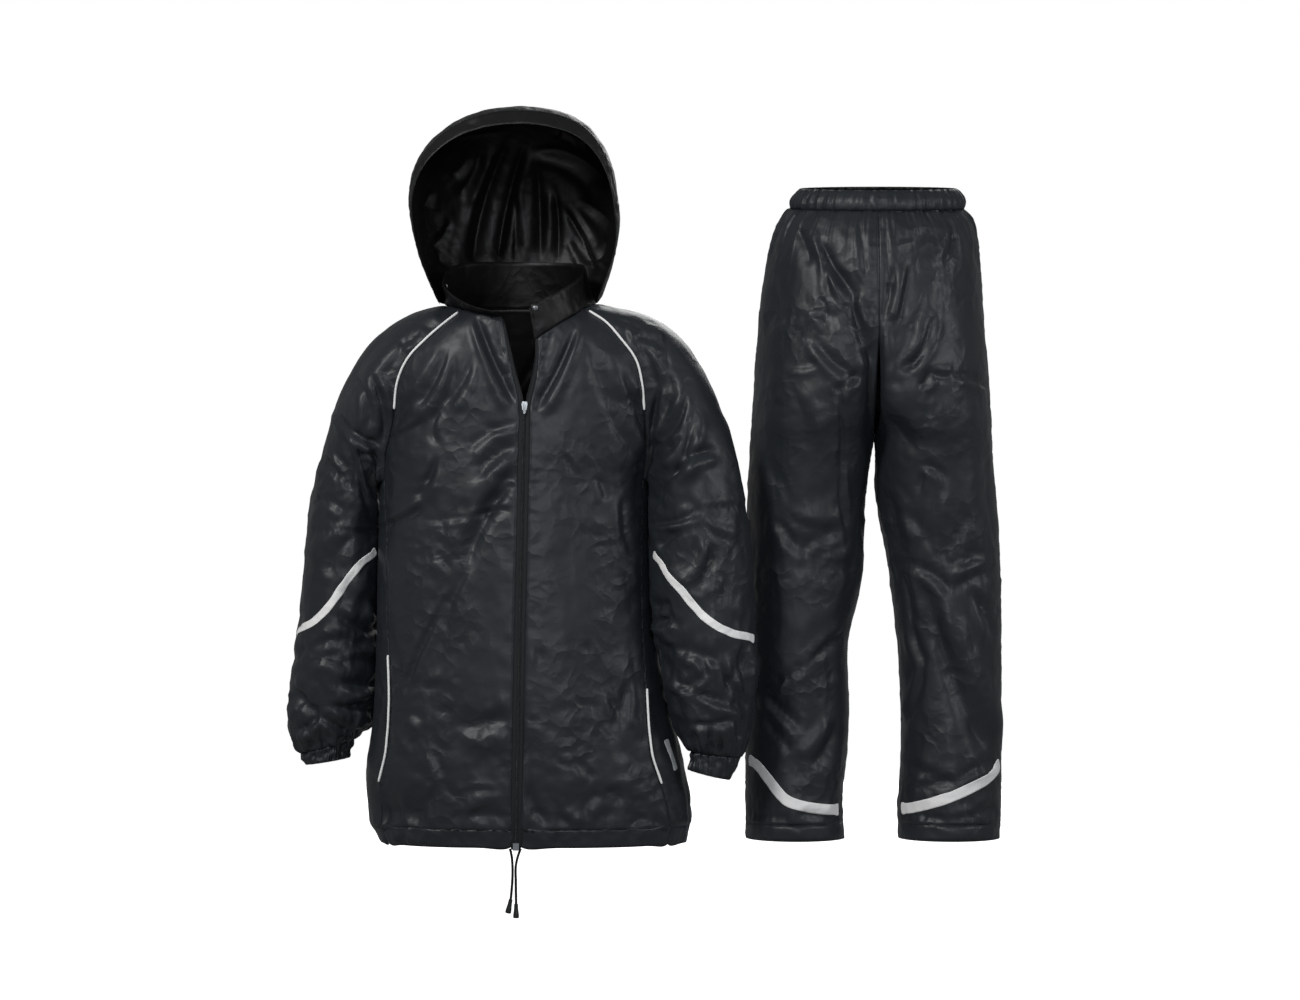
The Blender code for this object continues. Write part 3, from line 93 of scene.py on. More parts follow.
def wovenCloth(name, look):
    # plain-woven cloth: slow change of shade, crisp crumpled facets in patches, and a weave drawn
    # coarser than the real 0.2 mm so that it shows at all
    material, tree, shader = newMaterial(name, {
        "Roughness": look["roughness"], "Sheen Weight": look["sheen"], "Sheen Roughness": 0.4,
        "Sheen Tint": toLinear(look["sheenTint"]), "Specular IOR Level": look["specular"],
    })
    where = addNode(tree, "ShaderNodeTexCoord").outputs["Object"]
    shade = addNode(tree, "ShaderNodeTexNoise", inputs={"Vector": where, "Scale": 9.0, "Detail": 3.0})
    colour = addNode(tree, "ShaderNodeMix", {"data_type": "RGBA"}, {
        "Factor": shade.outputs["Fac"]})
    colour.inputs[6].default_value = toLinear(look["dark"])
    colour.inputs[7].default_value = toLinear(look["light"])
    tree.links.new(colour.outputs[2], shader.inputs["Base Color"])
    bend = addNode(tree, "ShaderNodeTexNoise", inputs={
        "Vector": where, "Scale": 600 / look["crumpleSize"], "Detail": 2.0})
    pull = addNode(tree, "ShaderNodeVectorMath", {"operation": "SCALE"}, {
        0: bend.outputs["Color"], "Scale": 0.0016 * look["crumpleSize"]})
    bent = addNode(tree, "ShaderNodeVectorMath", {"operation": "ADD"}, {0: where, 1: pull.outputs["Vector"]})
    facets = addNode(tree, "ShaderNodeTexVoronoi", {"feature": "F1"}, {
        "Vector": bent.outputs["Vector"], "Scale": 1000 / look["crumpleSize"]})
    patches = addNode(tree, "ShaderNodeTexNoise", inputs={"Vector": where, "Scale": 13.0, "Detail": 2.0})
    amount = addNode(tree, "ShaderNodeMapRange", inputs={
        "Value": patches.outputs["Fac"], "From Min": 0.42, "From Max": 0.66,
        "To Min": 0.12 * look["crumpleStrength"], "To Max": look["crumpleStrength"]})
    weave = addNode(tree, "ShaderNodeTexVoronoi", {"feature": "F1", "distance": "CHEBYCHEV"}, {
        "Vector": where, "Scale": 1000 / look["weaveSize"], "Randomness": 0.25})
    first = addNode(tree, "ShaderNodeBump", inputs={
        "Height": facets.outputs["Distance"], "Strength": amount.outputs["Result"],
        "Distance": 0.00045 * look["crumpleSize"]})
    second = addNode(tree, "ShaderNodeBump", inputs={
        "Height": weave.outputs["Distance"], "Normal": first.outputs["Normal"],
        "Strength": look["weaveStrength"], "Distance": 0.0004})
    tree.links.new(second.outputs["Normal"], shader.inputs["Normal"])
    return material


def smoothHard(name, look):
    # metal or moulded plastic with faint handling marks in its gloss
    material, tree, shader = newMaterial(name, {
        "Base Color": toLinear(look["colour"]), "Metallic": look["metallic"], "IOR": look["ior"]})
    where = addNode(tree, "ShaderNodeTexCoord").outputs["Object"]
    marks = addNode(tree, "ShaderNodeTexNoise", inputs={"Vector": where, "Scale": 420.0, "Detail": 3.0})
    gloss = addNode(tree, "ShaderNodeMapRange", inputs={
        "Value": marks.outputs["Fac"], "To Min": look["roughness"] - 0.06, "To Max": look["roughness"] + 0.1})
    tree.links.new(gloss.outputs["Result"], shader.inputs["Roughness"])
    bump = addNode(tree, "ShaderNodeBump", inputs={
        "Height": marks.outputs["Fac"], "Strength": 0.25, "Distance": 0.0002})
    tree.links.new(bump.outputs["Normal"], shader.inputs["Normal"])
    return material


clothLooks = {
    # polyurethane-coated nylon taffeta: smooth, thin and crisp, with a soft broad gloss
    "coatedTaffeta": {
        "dark": "1e2125", "light": "282c31", "roughness": 0.42, "sheen": 0.04, "sheenTint": "9aa4b4",
        "specular": 0.33, "crumpleSize": 26, "crumpleStrength": 0.36, "weaveSize": 1.1, "weaveStrength": 0.2},
    # the same cloth in the hood, painted darker than the body cloth as painted shade for the hood's own shadow
    "hoodTaffetaPaintedShade": {
        "dark": "08090a", "light": "0d0e0f", "roughness": 0.46, "sheen": 0.03, "sheenTint": "9aa4b4",
        "specular": 0.35, "crumpleSize": 24, "crumpleStrength": 0.3, "weaveSize": 1.1, "weaveStrength": 0.2},
    # the coated wrong side of the same cloth, duller, and darker still as painted shade for the shadowed
    # insides
    "coatedInsideAndPaintedShade": {
        "dark": "070708", "light": "0c0c0d", "roughness": 0.48, "sheen": 0.02, "sheenTint": "8a929c",
        "specular": 0.35, "crumpleSize": 20, "crumpleStrength": 0.2, "weaveSize": 1.1, "weaveStrength": 0.25},
    # white polyester piping over a filler cord
    "whitePiping": {
        "dark": "ececec", "light": "fafafa", "roughness": 0.6, "sheen": 0.2, "sheenTint": "ffffff",
        "specular": 0.4, "crumpleSize": 8, "crumpleStrength": 0.1, "weaveSize": 0.9, "weaveStrength": 0.4},
    # smooth pale trim tape on the sleeves
    "sleeveTrim": {
        "dark": "f0f0f0", "light": "fbfbfb", "roughness": 0.5, "sheen": 0.15, "sheenTint": "ffffff",
        "specular": 0.45, "crumpleSize": 9, "crumpleStrength": 0.12, "weaveSize": 0.9, "weaveStrength": 0.3},
    # ribbed grosgrain tape above the trouser hems
    "trouserTrim": {
        "dark": "e2e2e2", "light": "f2f2f2", "roughness": 0.6, "sheen": 0.15, "sheenTint": "ffffff",
        "specular": 0.4, "crumpleSize": 9, "crumpleStrength": 0.12, "weaveSize": 1.3, "weaveStrength": 0.6},
    # knitted polyester zip tape
    "zipTape": {
        "dark": "14171a", "light": "1a1d21", "roughness": 0.7, "sheen": 0.1, "sheenTint": "9aa0aa",
        "specular": 0.3, "crumpleSize": 8, "crumpleStrength": 0.1, "weaveSize": 1.2, "weaveStrength": 0.7},
    # grey woven loop at the side seam
    "greyWebbing": {
        "dark": "a4a8ad", "light": "bcc0c5", "roughness": 0.65, "sheen": 0.2, "sheenTint": "ffffff",
        "specular": 0.35, "crumpleSize": 6, "crumpleStrength": 0.1, "weaveSize": 1.0, "weaveStrength": 0.6},
    # braided polyester drawcord
    "braidedCord": {
        "dark": "0b0c0c", "light": "141615", "roughness": 0.75, "sheen": 0.05, "sheenTint": "a0a8a4",
        "specular": 0.2, "crumpleSize": 3, "crumpleStrength": 0.2, "weaveSize": 0.9, "weaveStrength": 0.9},
    # spun polyester thread, a little lighter than the cloth
    "thread": {
        "dark": "14161a", "light": "1d2025", "roughness": 0.6, "sheen": 0.1, "sheenTint": "b0b8c4",
        "specular": 0.3, "crumpleSize": 2, "crumpleStrength": 0.1, "weaveSize": 0.5, "weaveStrength": 0.2},
}
hardLooks = {
    # nickel-plated zinc die casting
    "platedZinc": {"colour": "9a9c9f", "metallic": 1.0, "roughness": 0.28, "ior": 1.5},
    # brushed nickel-plated brass snaps
    "platedSnap": {"colour": "8d9093", "metallic": 1.0, "roughness": 0.34, "ior": 1.5},
    # moulded acetal box at the zip's foot
    "greyAcetal": {"colour": "70747a", "metallic": 0.0, "roughness": 0.4, "ior": 1.48},
    # moulded nylon zip coil
    "nylonCoil": {"colour": "1c1e21", "metallic": 0.0, "roughness": 0.36, "ior": 1.53},
    # moulded PVC cord ends
    "blackMoulding": {"colour": "17191a", "metallic": 0.0, "roughness": 0.26, "ior": 1.53},
}
material = {name: wovenCloth(name, look) for name, look in clothLooks.items()}
material.update({name: smoothHard(name, look) for name, look in hardLooks.items()})
print("materials made:", len(material))


# folds and crumples
# main creases, read off the front view in millimetres at the suit's middle depth:
# x and z of both ends, bow to the side, half width, depth
creases = {
    "body": (
        (-75, -18, -12, -158, -4, 7, 4.5), (80, -28, 13, -164, 5, 7, 4.5),
        (-106, -80, -146, -183, 8, 9, 3.0), (-83, -80, -125, -155, 6, 8, 2.4),
        (-121, -66, -168, -158, 6, 9, 2.6), (-134, -158, -138, -215, -8, 5, 1.6),
        (-65, -190, -3, -172, -7, 7, 1.8), (-10, -214, -74, -266, -8, 11, 3.2),
        (-8, -251, -71, -329, -7, 12, 3.6), (-33, -190, -90, -224, -5, 7, 1.8),
        (-137, -235, -155, -277, 2, 5, 1.6), (101, -65, 142, -160, -8, 16, 2.6),
        (152, -106, 194, -230, 4, 7, 2.6), (121, -147, 189, -251, -6, 8, 1.6),
        (168, -132, 193, -225, 3, 5, 1.8), (59, -229, 71, -262, 3, 5, 1.6),
        (165, -257, 186, -245, 3, 4, 1.8), (-225, -210, -152, -177, -4, 4, 1.8),
        (-220, -241, -188, -233, 2, 3, 1.4), (-39, -28, -34, -80, 0, 7, 1.6),
        (44, -28, 18, -111, 3, 9, 1.8), (-173, -132, -209, -189, 4, 8, 1.8),
        (111, -266, 127, -302, 3, 7, 1.2), (-229, -345, -157, -313, -4, 5, 3.2),
        (-168, -332, -85, -329, -3, 3, 1.4), (-85, -329, -22, -318, 4, 4, 2.0),
        (-225, -362, -157, -373, 2, 3, 1.2), (-142, -238, -168, -300, 4, 8, 2.2),
        (-16, -271, -90, -394, -9, 11, 4.6), (-85, -400, -127, -499, -4, 7, 1.8),
        (-105, -431, -190, -603, -8, 4, 1.9), (-127, -475, -182, -593, -6, 4, 1.5),
        (-106, -650, -34, -631, -9, 15, 2.6), (-65, -648, -22, -639, -4, 12, 1.8),
        (8, -672, 33, -806, -20, 8, 3.8), (-191, -788, -225, -788, 0, 26, 4.2),
        (-189, -788, -152, -788, 0, 24, 3.6), (-96, -797, -33, -793, 5, 13, 2.6),
        (-142, -386, -116, -411, 3, 5, 1.6), (-114, -390, -80, -386, -3, 4, 1.4),
        (-189, -603, -163, -586, 3, 6, 1.8), (-160, -592, -127, -585, -3, 6, 1.6),
        (-178, -628, -152, -644, -3, 7, 1.4), (-137, -638, -106, -626, 3, 7, 1.4),
        (-146, -690, -127, -728, 3, 6, 1.4), (-127, -731, -106, -767, -4, 7, 1.6),
        (-137, -741, -148, -772, 0, 6, 1.3), (-100, -755, -46, -754, 3, 4, 1.4),
        (80, -710, 102, -737, 4, 7, 1.6), (49, -703, 70, -716, -2, 5, 1.3),
        (90, -788, 116, -757, 6, 9, 1.8), (121, -754, 152, -767, 5, 8, 1.6),
        (127, -602, 148, -634, 0, 6, 1.6), (157, -586, 142, -654, 4, 7, 1.5),
        (152, -297, 169, -392, -6, 6, 1.6), (153, -411, 165, -483, 4, 8, 1.2),
        (3, -646, 29, -650, 0, 4, 1.2), (96, -524, 102, -545, 0, 5, 1.2),
        (18, -535, 24, -551, 0, 5, 1.0), (49, -788, 72, -822, 3, 9, 2.0),
        (158, -822, 189, -793, 5, 9, 1.8), (199, -788, 225, -819, -4, 9, 1.8),
        (-34, -809, -18, -772, 4, 8, 1.6), (-214, -661, -189, -703, -6, 8, 1.4),
        (-194, -550, -203, -592, 2, 6, 1.4),
    ),
    "sleeveLeft": (
        (-296, -155, -224, -215, -14, 6, 3.4), (-289, -183, -271, -277, 6, 7, 3.4),
        (-306, -246, -275, -283, 5, 6, 2.6), (-260, -209, -225, -308, -5, 7, 4.0),
        (-257, -235, -229, -239, 7, 4, 2.4), (-240, -106, -217, -215, 8, 7, 3.2),
        (-266, -106, -240, -189, 8, 8, 2.0), (-189, -39, -225, -116, 9, 12, 2.0),
        (-318, -235, -304, -261, 2, 6, 1.8), (-178, -28, -137, -39, 4, 7, 1.6),
        (-199, -59, -163, -39, -4, 8, 1.8), (-318, -225, -286, -292, 6, 6, 2.8),
        (-292, -230, -271, -288, 4, 6, 2.6), (-263, -235, -227, -344, -6, 6, 3.8),
        (-328, -297, -280, -319, 4, 6, 2.0), (-338, -347, -225, -354, 2, 3, 1.3),
        (-260, -354, -308, -417, -6, 13, 3.2), (-292, -477, -229, -505, -7, 9, 4.4),
        (-239, -452, -227, -510, 4, 7, 3.6), (-338, -536, -239, -537, 18, 8, 3.0),
        (-333, -555, -271, -559, 10, 7, 2.0), (-275, -551, -225, -555, 6, 6, 2.6),
        (-286, -582, -224, -586, -5, 8, 4.2), (-301, -624, -229, -602, -9, 8, 4.2),
        (-363, -587, -318, -634, -4, 7, 3.2), (-318, -634, -359, -660, 4, 6, 2.8),
        (-318, -634, -268, -662, -5, 6, 2.6), (-364, -555, -344, -524, -4, 7, 1.8),
        (-364, -607, -344, -618, 0, 9, 3.2), (-271, -624, -229, -634, 5, 8, 3.4),
        (-292, -674, -239, -649, -6, 7, 2.8), (-265, -659, -240, -679, 0, 6, 2.0),
        (-338, -674, -328, -703, 3, 5, 1.8), (-313, -674, -307, -699, 2, 5, 1.8),
        (-289, -672, -285, -698, 2, 5, 1.6), (-348, -648, -333, -669, 3, 5, 1.8),
        (-349, -473, -355, -504, 0, 8, 2.2), (-264, -411, -287, -452, 4, 10, 1.6),
        (-240, -411, -229, -437, 0, 8, 1.8),
    ),
    "sleeveRight": (
        (221, -28, 227, -133, -4, 9, 1.8), (210, -122, 195, -231, -4, 6, 3.4),
        (252, -138, 200, -226, 7, 7, 3.6), (262, -163, 221, -267, 8, 9, 4.0),
        (241, -204, 220, -226, 0, 6, 2.2), (298, -225, 241, -241, -4, 9, 4.2),
        (241, -241, 195, -314, -6, 10, 5.2), (173, -59, 204, -132, 7, 8, 1.8),
        (142, -23, 178, -39, 4, 7, 1.8), (168, -49, 214, -65, 5, 7, 1.6),
        (266, -173, 271, -204, 0, 7, 1.6), (152, -28, 160, -59, 0, 6, 1.4),
        (189, -338, 276, -316, -7, 5, 2.6), (276, -316, 350, -314, 3, 4, 2.0),
        (246, -349, 205, -376, -4, 7, 3.4), (277, -339, 320, -366, -5, 6, 2.4),
        (293, -369, 260, -443, 8, 10, 4.6), (268, -359, 245, -427, 6, 8, 3.0),
        (314, -431, 296, -458, 3, 7, 2.4), (227, -463, 197, -466, 2, 8, 4.2),
        (193, -489, 231, -481, -4, 7, 4.0), (194, -500, 231, -536, -7, 7, 3.4),
        (231, -535, 303, -556, 6, 6, 2.8), (303, -556, 350, -619, -7, 6, 3.0),
        (241, -546, 283, -567, 9, 5, 2.6), (283, -567, 234, -587, 9, 6, 2.8),
        (221, -577, 350, -624, -7, 6, 2.6), (340, -525, 350, -608, -6, 8, 3.6),
        (308, -597, 334, -555, 0, 7, 1.8), (221, -593, 245, -660, 5, 8, 2.6),
        (194, -524, 220, -586, 6, 12, 3.8), (257, -659, 272, -706, 3, 5, 2.2),
        (288, -648, 277, -705, 3, 5, 2.0), (303, -659, 302, -716, 0, 5, 1.8),
        (324, -644, 333, -674, 4, 6, 2.4), (240, -669, 247, -703, 0, 5, 1.8),
        (251, -648, 328, -641, -5, 6, 2.0), (316, -390, 338, -364, 3, 6, 1.6),
        (333, -328, 338, -354, 0, 6, 1.6), (313, -483, 344, -499, 4, 8, 1.4),
    ),
    "hood": (
        (-23, 261, -81, 58, -10, 9, 4.0), (-1, 250, -43, 64, -5, 8, 4.4), (45, 183, 50, 69, 4, 7, 3.0),
        (59, 152, 107, 43, 5, 6, 4.2), (8, 239, 128, 177, 22, 10, 4.2), (-84, 235, -115, 198, 4, 8, 2.4),
        (-115, 132, -143, 84, 3, 7, 2.4), (-146, 178, -157, 151, 2, 6, 1.8),
        (81, 163, 138, 115, 7, 7, 2.6), (-65, 251, -106, 162, 5, 9, 2.4), (18, 230, 24, 69, 2, 8, 2.8),
        (-13, 178, -16, 65, 0, 6, 2.4), (72, 106, 97, 64, 0, 5, 2.0), (127, 106, 114, 65, 2, 5, 2.0),
        (-137, 116, -127, 59, -3, 7, 1.8), (-65, 271, -85, 284, 2, 4, 1.6),
        (49, 276, 101, 251, -4, 5, 2.0), (-116, 256, -34, 267, 2, 4, 1.6), (59, 271, 54, 256, 0, 4, 1.2),
    ),
    "trousers": (
        (456, 107, 505, 14, -4, 6, 3.2), (505, 14, 539, -87, -4, 8, 4.0), (477, 62, 513, 6, 3, 9, 3.2),
        (575, 70, 552, -25, 3, 6, 2.6), (598, 68, 581, -25, 2, 5, 2.2), (637, -16, 591, -102, 5, 7, 3.0),
        (620, 16, 598, -39, 2, 5, 1.8), (543, -23, 538, -180, 0, 11, 5.0),
        (442, -48, 529, -119, -8, 8, 2.4), (519, -101, 480, -133, 3, 7, 2.4),
        (442, -8, 468, -25, 3, 6, 1.8), (451, 16, 470, -17, 3, 5, 1.6),
        (609, -129, 626, -102, -5, 6, 3.0), (626, -102, 660, -110, -4, 5, 2.8),
        (660, -110, 718, -126, 5, 5, 2.6), (581, -102, 637, -50, -5, 7, 2.2),
        (484, -120, 490, -257, 5, 5, 1.9), (491, -256, 501, -350, -5, 5, 1.9),
        (403, -95, 454, -88, -3, 5, 1.4), (552, -140, 606, -225, -10, 15, 3.0),
        (388, -335, 420, -374, 3, 7, 2.0), (403, -326, 482, -350, -6, 7, 2.0),
        (426, -381, 493, -350, 5, 7, 2.2), (459, -405, 513, -395, -3, 7, 2.8),
        (395, -364, 442, -384, 0, 6, 1.5), (471, -426, 512, -411, 4, 6, 1.8),
        (364, -595, 436, -560, 0, 6, 2.6), (436, -560, 501, -508, 4, 6, 2.6),
        (370, -597, 428, -653, -4, 8, 2.8), (372, -645, 412, -691, 3, 7, 2.2),
        (484, -649, 443, -715, 7, 11, 4.0), (418, -666, 372, -636, 3, 7, 1.5),
        (612, -248, 653, -265, 4, 6, 2.2), (620, -256, 608, -287, 0, 5, 1.6),
        (597, -403, 660, -443, 7, 7, 3.0), (660, -443, 738, -412, 8, 7, 3.2),
        (651, -411, 713, -389, 5, 6, 2.0), (690, -442, 713, -473, 3, 6, 2.2),
        (666, -364, 690, -333, 4, 7, 1.6), (581, -411, 598, -490, 4, 7, 2.6),
        (598, -490, 622, -560, -3, 6, 2.4), (622, -450, 722, -699, -8, 15, 4.6),
        (617, -558, 591, -645, 5, 6, 2.2), (593, -753, 668, -738, 4, 5, 2.2),
        (668, -738, 730, -707, 4, 6, 2.4), (589, -705, 668, -738, -6, 7, 2.0),
        (702, -457, 728, -512, 3, 7, 2.4), (682, -473, 698, -535, 3, 6, 1.6),
        (581, -318, 614, -349, 4, 8, 1.8), (636, -287, 614, -380, 6, 9, 1.6),
        (713, -225, 722, -333, 0, 14, 1.6), (558, -287, 581, -380, 4, 9, 1.8),
        (356, -225, 403, -287, 8, 14, 1.4), (418, -132, 434, -225, 4, 12, 1.2),
        (349, -790, 411, -798, 0, 6, 1.6), (418, -790, 480, -798, 4, 6, 1.4),
        (597, -790, 659, -806, 4, 6, 1.6), (659, -798, 728, -775, -4, 6, 1.8),
        (372, -806, 380, -822, 0, 6, 1.2), (690, -790, 705, -814, 0, 6, 1.4),
        (465, 70, 473, 23, 0, 5, 1.6), (418, 124, 442, 62, 3, 9, 2.2), (666, 124, 651, 62, 4, 7, 2.0),
        (558, 124, 566, 8, 0, 5, 1.3), (519, 132, 529, 39, 0, 5, 1.3), (690, 101, 713, -23, 8, 12, 1.6),
        (372, 54, 395, -23, 6, 12, 1.4),
    ),
}
# places where the cloth is crumpled more: x, z, reach, extra
crumpleSpots = {
    "body": ((-130, -680, 90, 0.9), (-60, -790, 120, 0.8), (150, -790, 120, 0.9), (-150, -400, 60, 0.5),
             (145, -620, 70, 0.6), (190, -250, 70, 0.5), (-190, -250, 70, 0.5)),
    "sleeveLeft": ((-290, -640, 110, 2.0), (-250, -480, 90, 1.2), (-260, -300, 80, 0.9)),
    "sleeveRight": ((270, -640, 110, 2.0), (250, -480, 90, 1.2), (230, -320, 80, 0.9)),
    "hood": ((-10, 150, 200, 0.5),),
    "trousers": ((430, -380, 110, 0.9), (660, -420, 120, 1.1), (545, -150, 110, 0.8),
                 (430, -800, 110, 0.8), (650, -800, 110, 0.8)),
}
crumple = {"sizes": (70.0, 33.0, 16.0), "depths": (1.8, 1.1, 0.45), "base": 0.42, "seamFade": 6.0,
           "creaseScale": 2.3}

gradientTable = np.random.default_rng(11).normal(size=(256, 3))
gradientTable /= np.linalg.norm(gradientTable, axis=1)[:, None]


def softNoise(points, seed=0):
    # smooth gradient noise, about -0.7 to 0.7, one value a point
    cell = np.floor(points).astype(np.int64)
    part = points - cell
    ease = part ** 3 * (part * (part * 6 - 15) + 10)
    total = np.zeros(len(points))
    for corner in np.ndindex(2, 2, 2):
        at = cell + corner
        pick = (at[:, 0] * 73856093 ^ at[:, 1] * 19349663 ^ at[:, 2] * 83492791 ^ seed * 2654435) & 255
        weight = np.prod(np.where(np.array(corner) == 1, ease, 1 - ease), axis=1)
        total += weight * np.einsum("ij,ij->i", gradientTable[pick], part - corner)
    return total


def seenFromFront(points):
    # x and z in millimetres where a point appears at the suit's middle depth
    eye = np.array(camera["place"])
    scale = -eye[1] / (points[:, 1] - eye[1])
    return np.stack([(eye[0] + (points[:, 0] - eye[0]) * scale) / mm,
                     (eye[2] + (points[:, 2] - eye[2]) * scale) / mm], axis=1)


def creaseDepth(seen, rows):
    # how far the troughs press in at each point, with a soft raised lip on one side
    total = np.zeros(len(seen))
    for number, (x0, z0, x1, z1, bow, width, depth) in enumerate(rows):
        start = np.array([x0, z0], float)
        end = np.array([x1, z1], float)
        span = end - start
        length = np.linalg.norm(span)
        side = np.array([-span[1], span[0]]) / length
        near = np.all((seen > np.minimum(start, end) - 4 * width - abs(bow))
                      & (seen < np.maximum(start, end) + 4 * width + abs(bow)), axis=1)
        if not near.any():
            continue
        rel = seen[near] - start
        along = rel @ span / length ** 2
        away = rel @ side - bow * 4 * along * (1 - along)
        # the trough dies away over the last third at one end and the last fifth at the other
        fade = np.clip((along + 0.06) / 0.34, 0, 1) * np.clip((1.05 - along) / 0.22, 0, 1)
        fade = fade * fade * (3 - 2 * fade)
        wide = width * (0.75 + 0.5 * np.clip(along, 0, 1))
        lip = 1 if number % 2 else -1
        shape = 0.5 * np.exp(-(away / wide) ** 2) + 0.5 * np.exp(-np.abs(away) / (0.55 * wide))
        shape -= 0.6 * np.exp(-((away * lip - 1.9 * wide) / (1.1 * wide)) ** 2)
        total[near] += crumple["creaseScale"] * depth * fade * shape
    return total


def behind(rows, centre):
    # similar creases for the hidden back, mirrored and set lower
    return [(2 * centre - x0, z0 - 22, 2 * centre - x1, z1 - 22, bow, width, depth * 0.85)
            for x0, z0, x1, z1, bow, width, depth in rows]


def pressCreases(points, normals, group, centre, insideSeen=False):
    # depth of all creases and crumples at points in metres, along the normals, in millimetres
    seen = seenFromFront(points)
    facing = -normals[:, 1]
    if insideSeen:
        front = np.clip(-2.2 * facing + 0.3, 0, 1)
        total = -creaseDepth(seen, creases[group]) * front
    else:
        front = np.clip(2.2 * facing + 0.3, 0, 1)
        back = np.clip(-2.2 * facing + 0.3, 0, 1)
        total = creaseDepth(seen, creases[group]) * front
        total += creaseDepth(seen, behind(creases[group], centre)) * back
    extra = np.full(len(points), crumple["base"])
    for x, z, reach, more in crumpleSpots[group]:
        extra += more * np.exp(-((seen[:, 0] - x) ** 2 + (seen[:, 1] - z) ** 2) / reach ** 2)
    for number, (size, depth) in enumerate(zip(crumple["sizes"], crumple["depths"])):
        place = points / mm / size
        ridges = np.abs(softNoise(place, 3 * number)) - np.abs(softNoise(place + 31.7, 3 * number + 1))
        total += extra * depth * 2.4 * ridges
    return total


def outerWall(nodeName):
    # the outer skin of a cloth solid: its rim is taken off, and the outer of the two walls kept
    shape = bmesh.new()
    shape.from_mesh(nodes[nodeName].data)
    bmesh.ops.remove_doubles(shape, verts=shape.verts, dist=0.00002)
    rimWidth = clothBuild["rimWidth"] * mm
    rim = [face for face in shape.faces if min(edge.calc_length() for edge in face.edges) < rimWidth]
    bmesh.ops.delete(shape, geom=rim, context="FACES")
    shape.faces.ensure_lookup_table()
    walls = []
    left = set(shape.faces)
    while left:
        first = left.pop()
        wall = [first]
        queue = [first]
        while queue:
            face = queue.pop()
            for edge in face.edges:
                for other in edge.link_faces:
                    if other in left:
                        left.remove(other)
                        wall.append(other)
                        queue.append(other)
        walls.append(wall)
    if nodeName.startswith("zip_tape"):
        keep = min(walls, key=lambda wall: np.mean([face.calc_center_median().y for face in wall]))
    else:
        keep = max(walls, key=lambda wall: sum(face.calc_area() for face in wall))
    drop = [face for face in shape.faces if face not in set(keep)]
    bmesh.ops.delete(shape, geom=drop, context="FACES")
    bmesh.ops.join_triangles(shape, faces=shape.faces, angle_face_threshold=0.9, angle_shape_threshold=2.2)
    return shape


def subdivided(shape, name, levels):
    # smooth fine mesh through the points of a wall, with its points and normals as arrays
    mesh = bpy.data.meshes.new(name)
    shape.to_mesh(mesh)
    shape.free()
    thing = bpy.data.objects.new(name, mesh)
    bpy.context.scene.collection.objects.link(thing)
    smooth = thing.modifiers.new("smooth", "SUBSURF")
    smooth.levels = levels
    smooth.render_levels = levels
    coarse = np.array([vertex.co for vertex in mesh.vertices])
    cage = coarse.copy()
    for turn in range(clothBuild["fitTurns"] + 1):
        fine = bpy.data.meshes.new_from_object(thing.evaluated_get(bpy.context.evaluated_depsgraph_get()))
        points = np.empty(len(fine.vertices) * 3)
        fine.vertices.foreach_get("co", points)
        points = points.reshape(-1, 3)
        if turn == clothBuild["fitTurns"]:
            break
        # smoothing draws the form in, so the cage is let out by as much
        cage += coarse - points[:len(coarse)]
        mesh.vertices.foreach_set("co", cage.ravel())
        mesh.update()
        bpy.data.meshes.remove(fine)
    bpy.data.objects.remove(thing)
    normals = np.empty(len(fine.vertices) * 3)
    fine.vertices.foreach_get("normal", normals)
    return fine, points, normals.reshape(-1, 3)


def edgePoints(mesh):
    # the numbers of the points on the free edges of a mesh
    use = {}
    for face in mesh.polygons:
        for key in face.edge_keys:
            use[key] = use.get(key, 0) + 1
    return sorted({point for key, count in use.items() if count == 1 for point in key})


def lapEdges(mesh, points, normals, lap):
    # sewn edges reach a little under their neighbours, so that no light shows through a seam
    use = {}
    for face in mesh.polygons:
        for key in face.edge_keys:
            use.setdefault(key, []).append(face.index)
    push = np.zeros_like(points)
    for (a, b), faces in use.items():
        if len(faces) == 1:
            middle = points[list(mesh.polygons[faces[0]].vertices)].mean(axis=0)
            out = np.cross(points[b] - points[a], normals[a])
            out /= max(np.linalg.norm(out), 1e-9)
            if out @ (points[a] - middle) < 0:
                out = -out
            push[a] += out
            push[b] += out
    size = np.linalg.norm(push, axis=1)
    moved = size > 0.01
    points = points.copy()
    points[moved] += push[moved] / size[moved, None] * lap * mm
    return points


def distanceToEdge(points, edge):
    tree = KDTree(len(edge))
    for number, place in enumerate(edge):
        tree.insert(place, number)
    tree.balance()
    found = [tree.find(point) for point in points]
    return np.array([hit[2] for hit in found]) / mm, np.array([hit[0] for hit in found])


def gather(points, centre, top, reach, folds, depth, seed):
    # fine folds running down from a gathered edge, each of its own length
    angle = np.arctan2(points[:, 1] - centre[1] * mm, points[:, 0] - centre[0] * mm)
    ring = np.stack([np.cos(angle) * folds / 6.3, np.sin(angle) * folds / 6.3,
                     np.full(len(angle), seed)], axis=1)
    away = np.abs(points[:, 2] / mm - top)
    own = reach * (1 + 0.9 * softNoise(ring * 0.5, 5))
    wave = softNoise(ring, 7) + 0.6 * softNoise(ring * 1.9, 8)
    return depth * 2.2 * wave * np.exp(-(away / own) ** 1.5)


